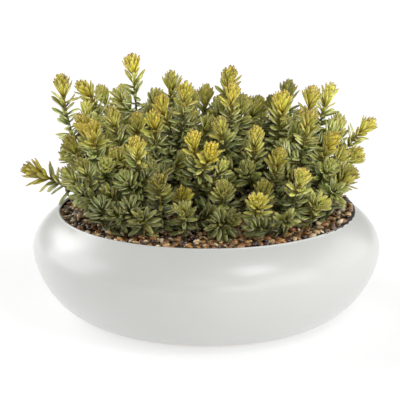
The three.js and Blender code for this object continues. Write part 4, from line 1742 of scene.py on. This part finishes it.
@dataclass
class Studio:
    """The camera at the photograph's angle, the pale floor and the soft lights.

    Each lamp is a soft box, as its name, where it hangs, its width and height, and its power in watts.
    """

    image_width: float = 400.0
    focal_pixels: float = 1692.4
    sensor: float = 36.0
    elevation: float = 16.07
    distance: float = 1.5
    far_clip: float = 30.0
    aim_height: float = 60.0 * MM
    aim_pixel_x: float = 206.6
    aim_pixel_y: float = 242.3
    floor_size: float = 14.0
    plant: Point = (0.0, 0.0, 0.1)
    surroundings: float = 0.385
    lamps: tuple[tuple[str, Point, Span, float], ...] = (
        ("rear_left_box", (-1.25, 0.92, 1.0), (0.85, 0.85), 8.2),
        ("front_right_box", (0.75, -0.9, 1.4), (0.6, 0.55), 6.8),
        ("right_sheet", (1.7, -1.2, 0.7), (1.6, 1.2), 15.0),
        ("right_back_sheet", (1.7, 0.6, 0.7), (1.6, 1.2), 8.5),
        ("left_sheet", (-1.7, 0.3, 0.7), (1.6, 1.2), 16.3),
        ("front_box", (0.0, -2.0, 1.1), (1.0, 0.8), 2.5),
        ("low_front_box", (0.6, -1.6, 0.25), (0.8, 0.3), 2.9),
    )

    def camera(self) -> None:
        """Places the camera so that the bowl lands where the photograph has it."""
        elevation = math.radians(self.elevation)
        forward = Vector((0.0, math.cos(elevation), -math.sin(elevation)))
        aim = Vector((0.0, 0.0, self.aim_height))
        middle = self.image_width / 2
        yaw = math.atan((self.aim_pixel_x - middle) / self.focal_pixels)
        pitch = elevation - math.atan((self.aim_pixel_y - middle) / self.focal_pixels)
        bpy.ops.object.camera_add(location=aim - forward * self.distance)
        camera = bpy.context.object
        camera.name = "camera"
        camera.rotation_euler = (math.pi / 2 - pitch, 0.0, yaw)
        camera.data.sensor_width = self.sensor
        camera.data.lens = self.focal_pixels * self.sensor / self.image_width
        camera.data.clip_end = self.far_clip
        bpy.context.scene.camera = camera

    def floor(self) -> None:
        """Lays the pale floor."""
        deselect_all()
        bpy.ops.mesh.primitive_plane_add(size=self.floor_size)
        floor = bpy.context.object
        floor.name = "studio_floor"
        floor.data.materials.append(FloorFinish().build())

    def lights(self) -> None:
        """Hangs the soft boxes, pointed at the plant, and sets the pale surroundings."""
        for name, place, size, power in self.lamps:
            bpy.ops.object.light_add(type="AREA", location=place)
            lamp = bpy.context.object
            lamp.name = name
            lamp.data.shape = "RECTANGLE"
            lamp.data.size, lamp.data.size_y = size
            lamp.data.energy = power
            lamp.rotation_euler = (Vector(self.plant) - Vector(place)).to_track_quat("-Z", "Y").to_euler()
        world = bpy.data.worlds.new("studio_surroundings")
        world.use_nodes = True
        backdrop = world.node_tree.nodes["Background"]
        backdrop.inputs["Color"].default_value = (1.0, 1.0, 1.0, 1.0)
        backdrop.inputs["Strength"].default_value = self.surroundings
        bpy.context.scene.world = world

    def build(self) -> None:
        """Sets up the whole studio."""
        self.camera()
        self.floor()
        self.lights()
        bpy.context.scene.view_settings.view_transform = "Standard"


def main() -> None:
    """Loads the frame, builds every piece in order and reports each one."""
    logging.basicConfig(level=logging.INFO, format="%(message)s")
    FRAME.update(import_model())
    Studio().build()
    LOG.info("bowl: %s", Bowl().build().name)
    FRAME["nodes"]["soil"].data.materials.clear()
    FRAME["nodes"]["soil"].data.materials.append(SoilFinish().build())
    for piece in TopDressing().build():
        LOG.info("gravel: %s", piece.name)
    for piece in Bush().build():
        LOG.info("stem: %s with %d faces", piece.name, len(piece.data.polygons))
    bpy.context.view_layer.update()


if __name__ == "__main__":
    main()
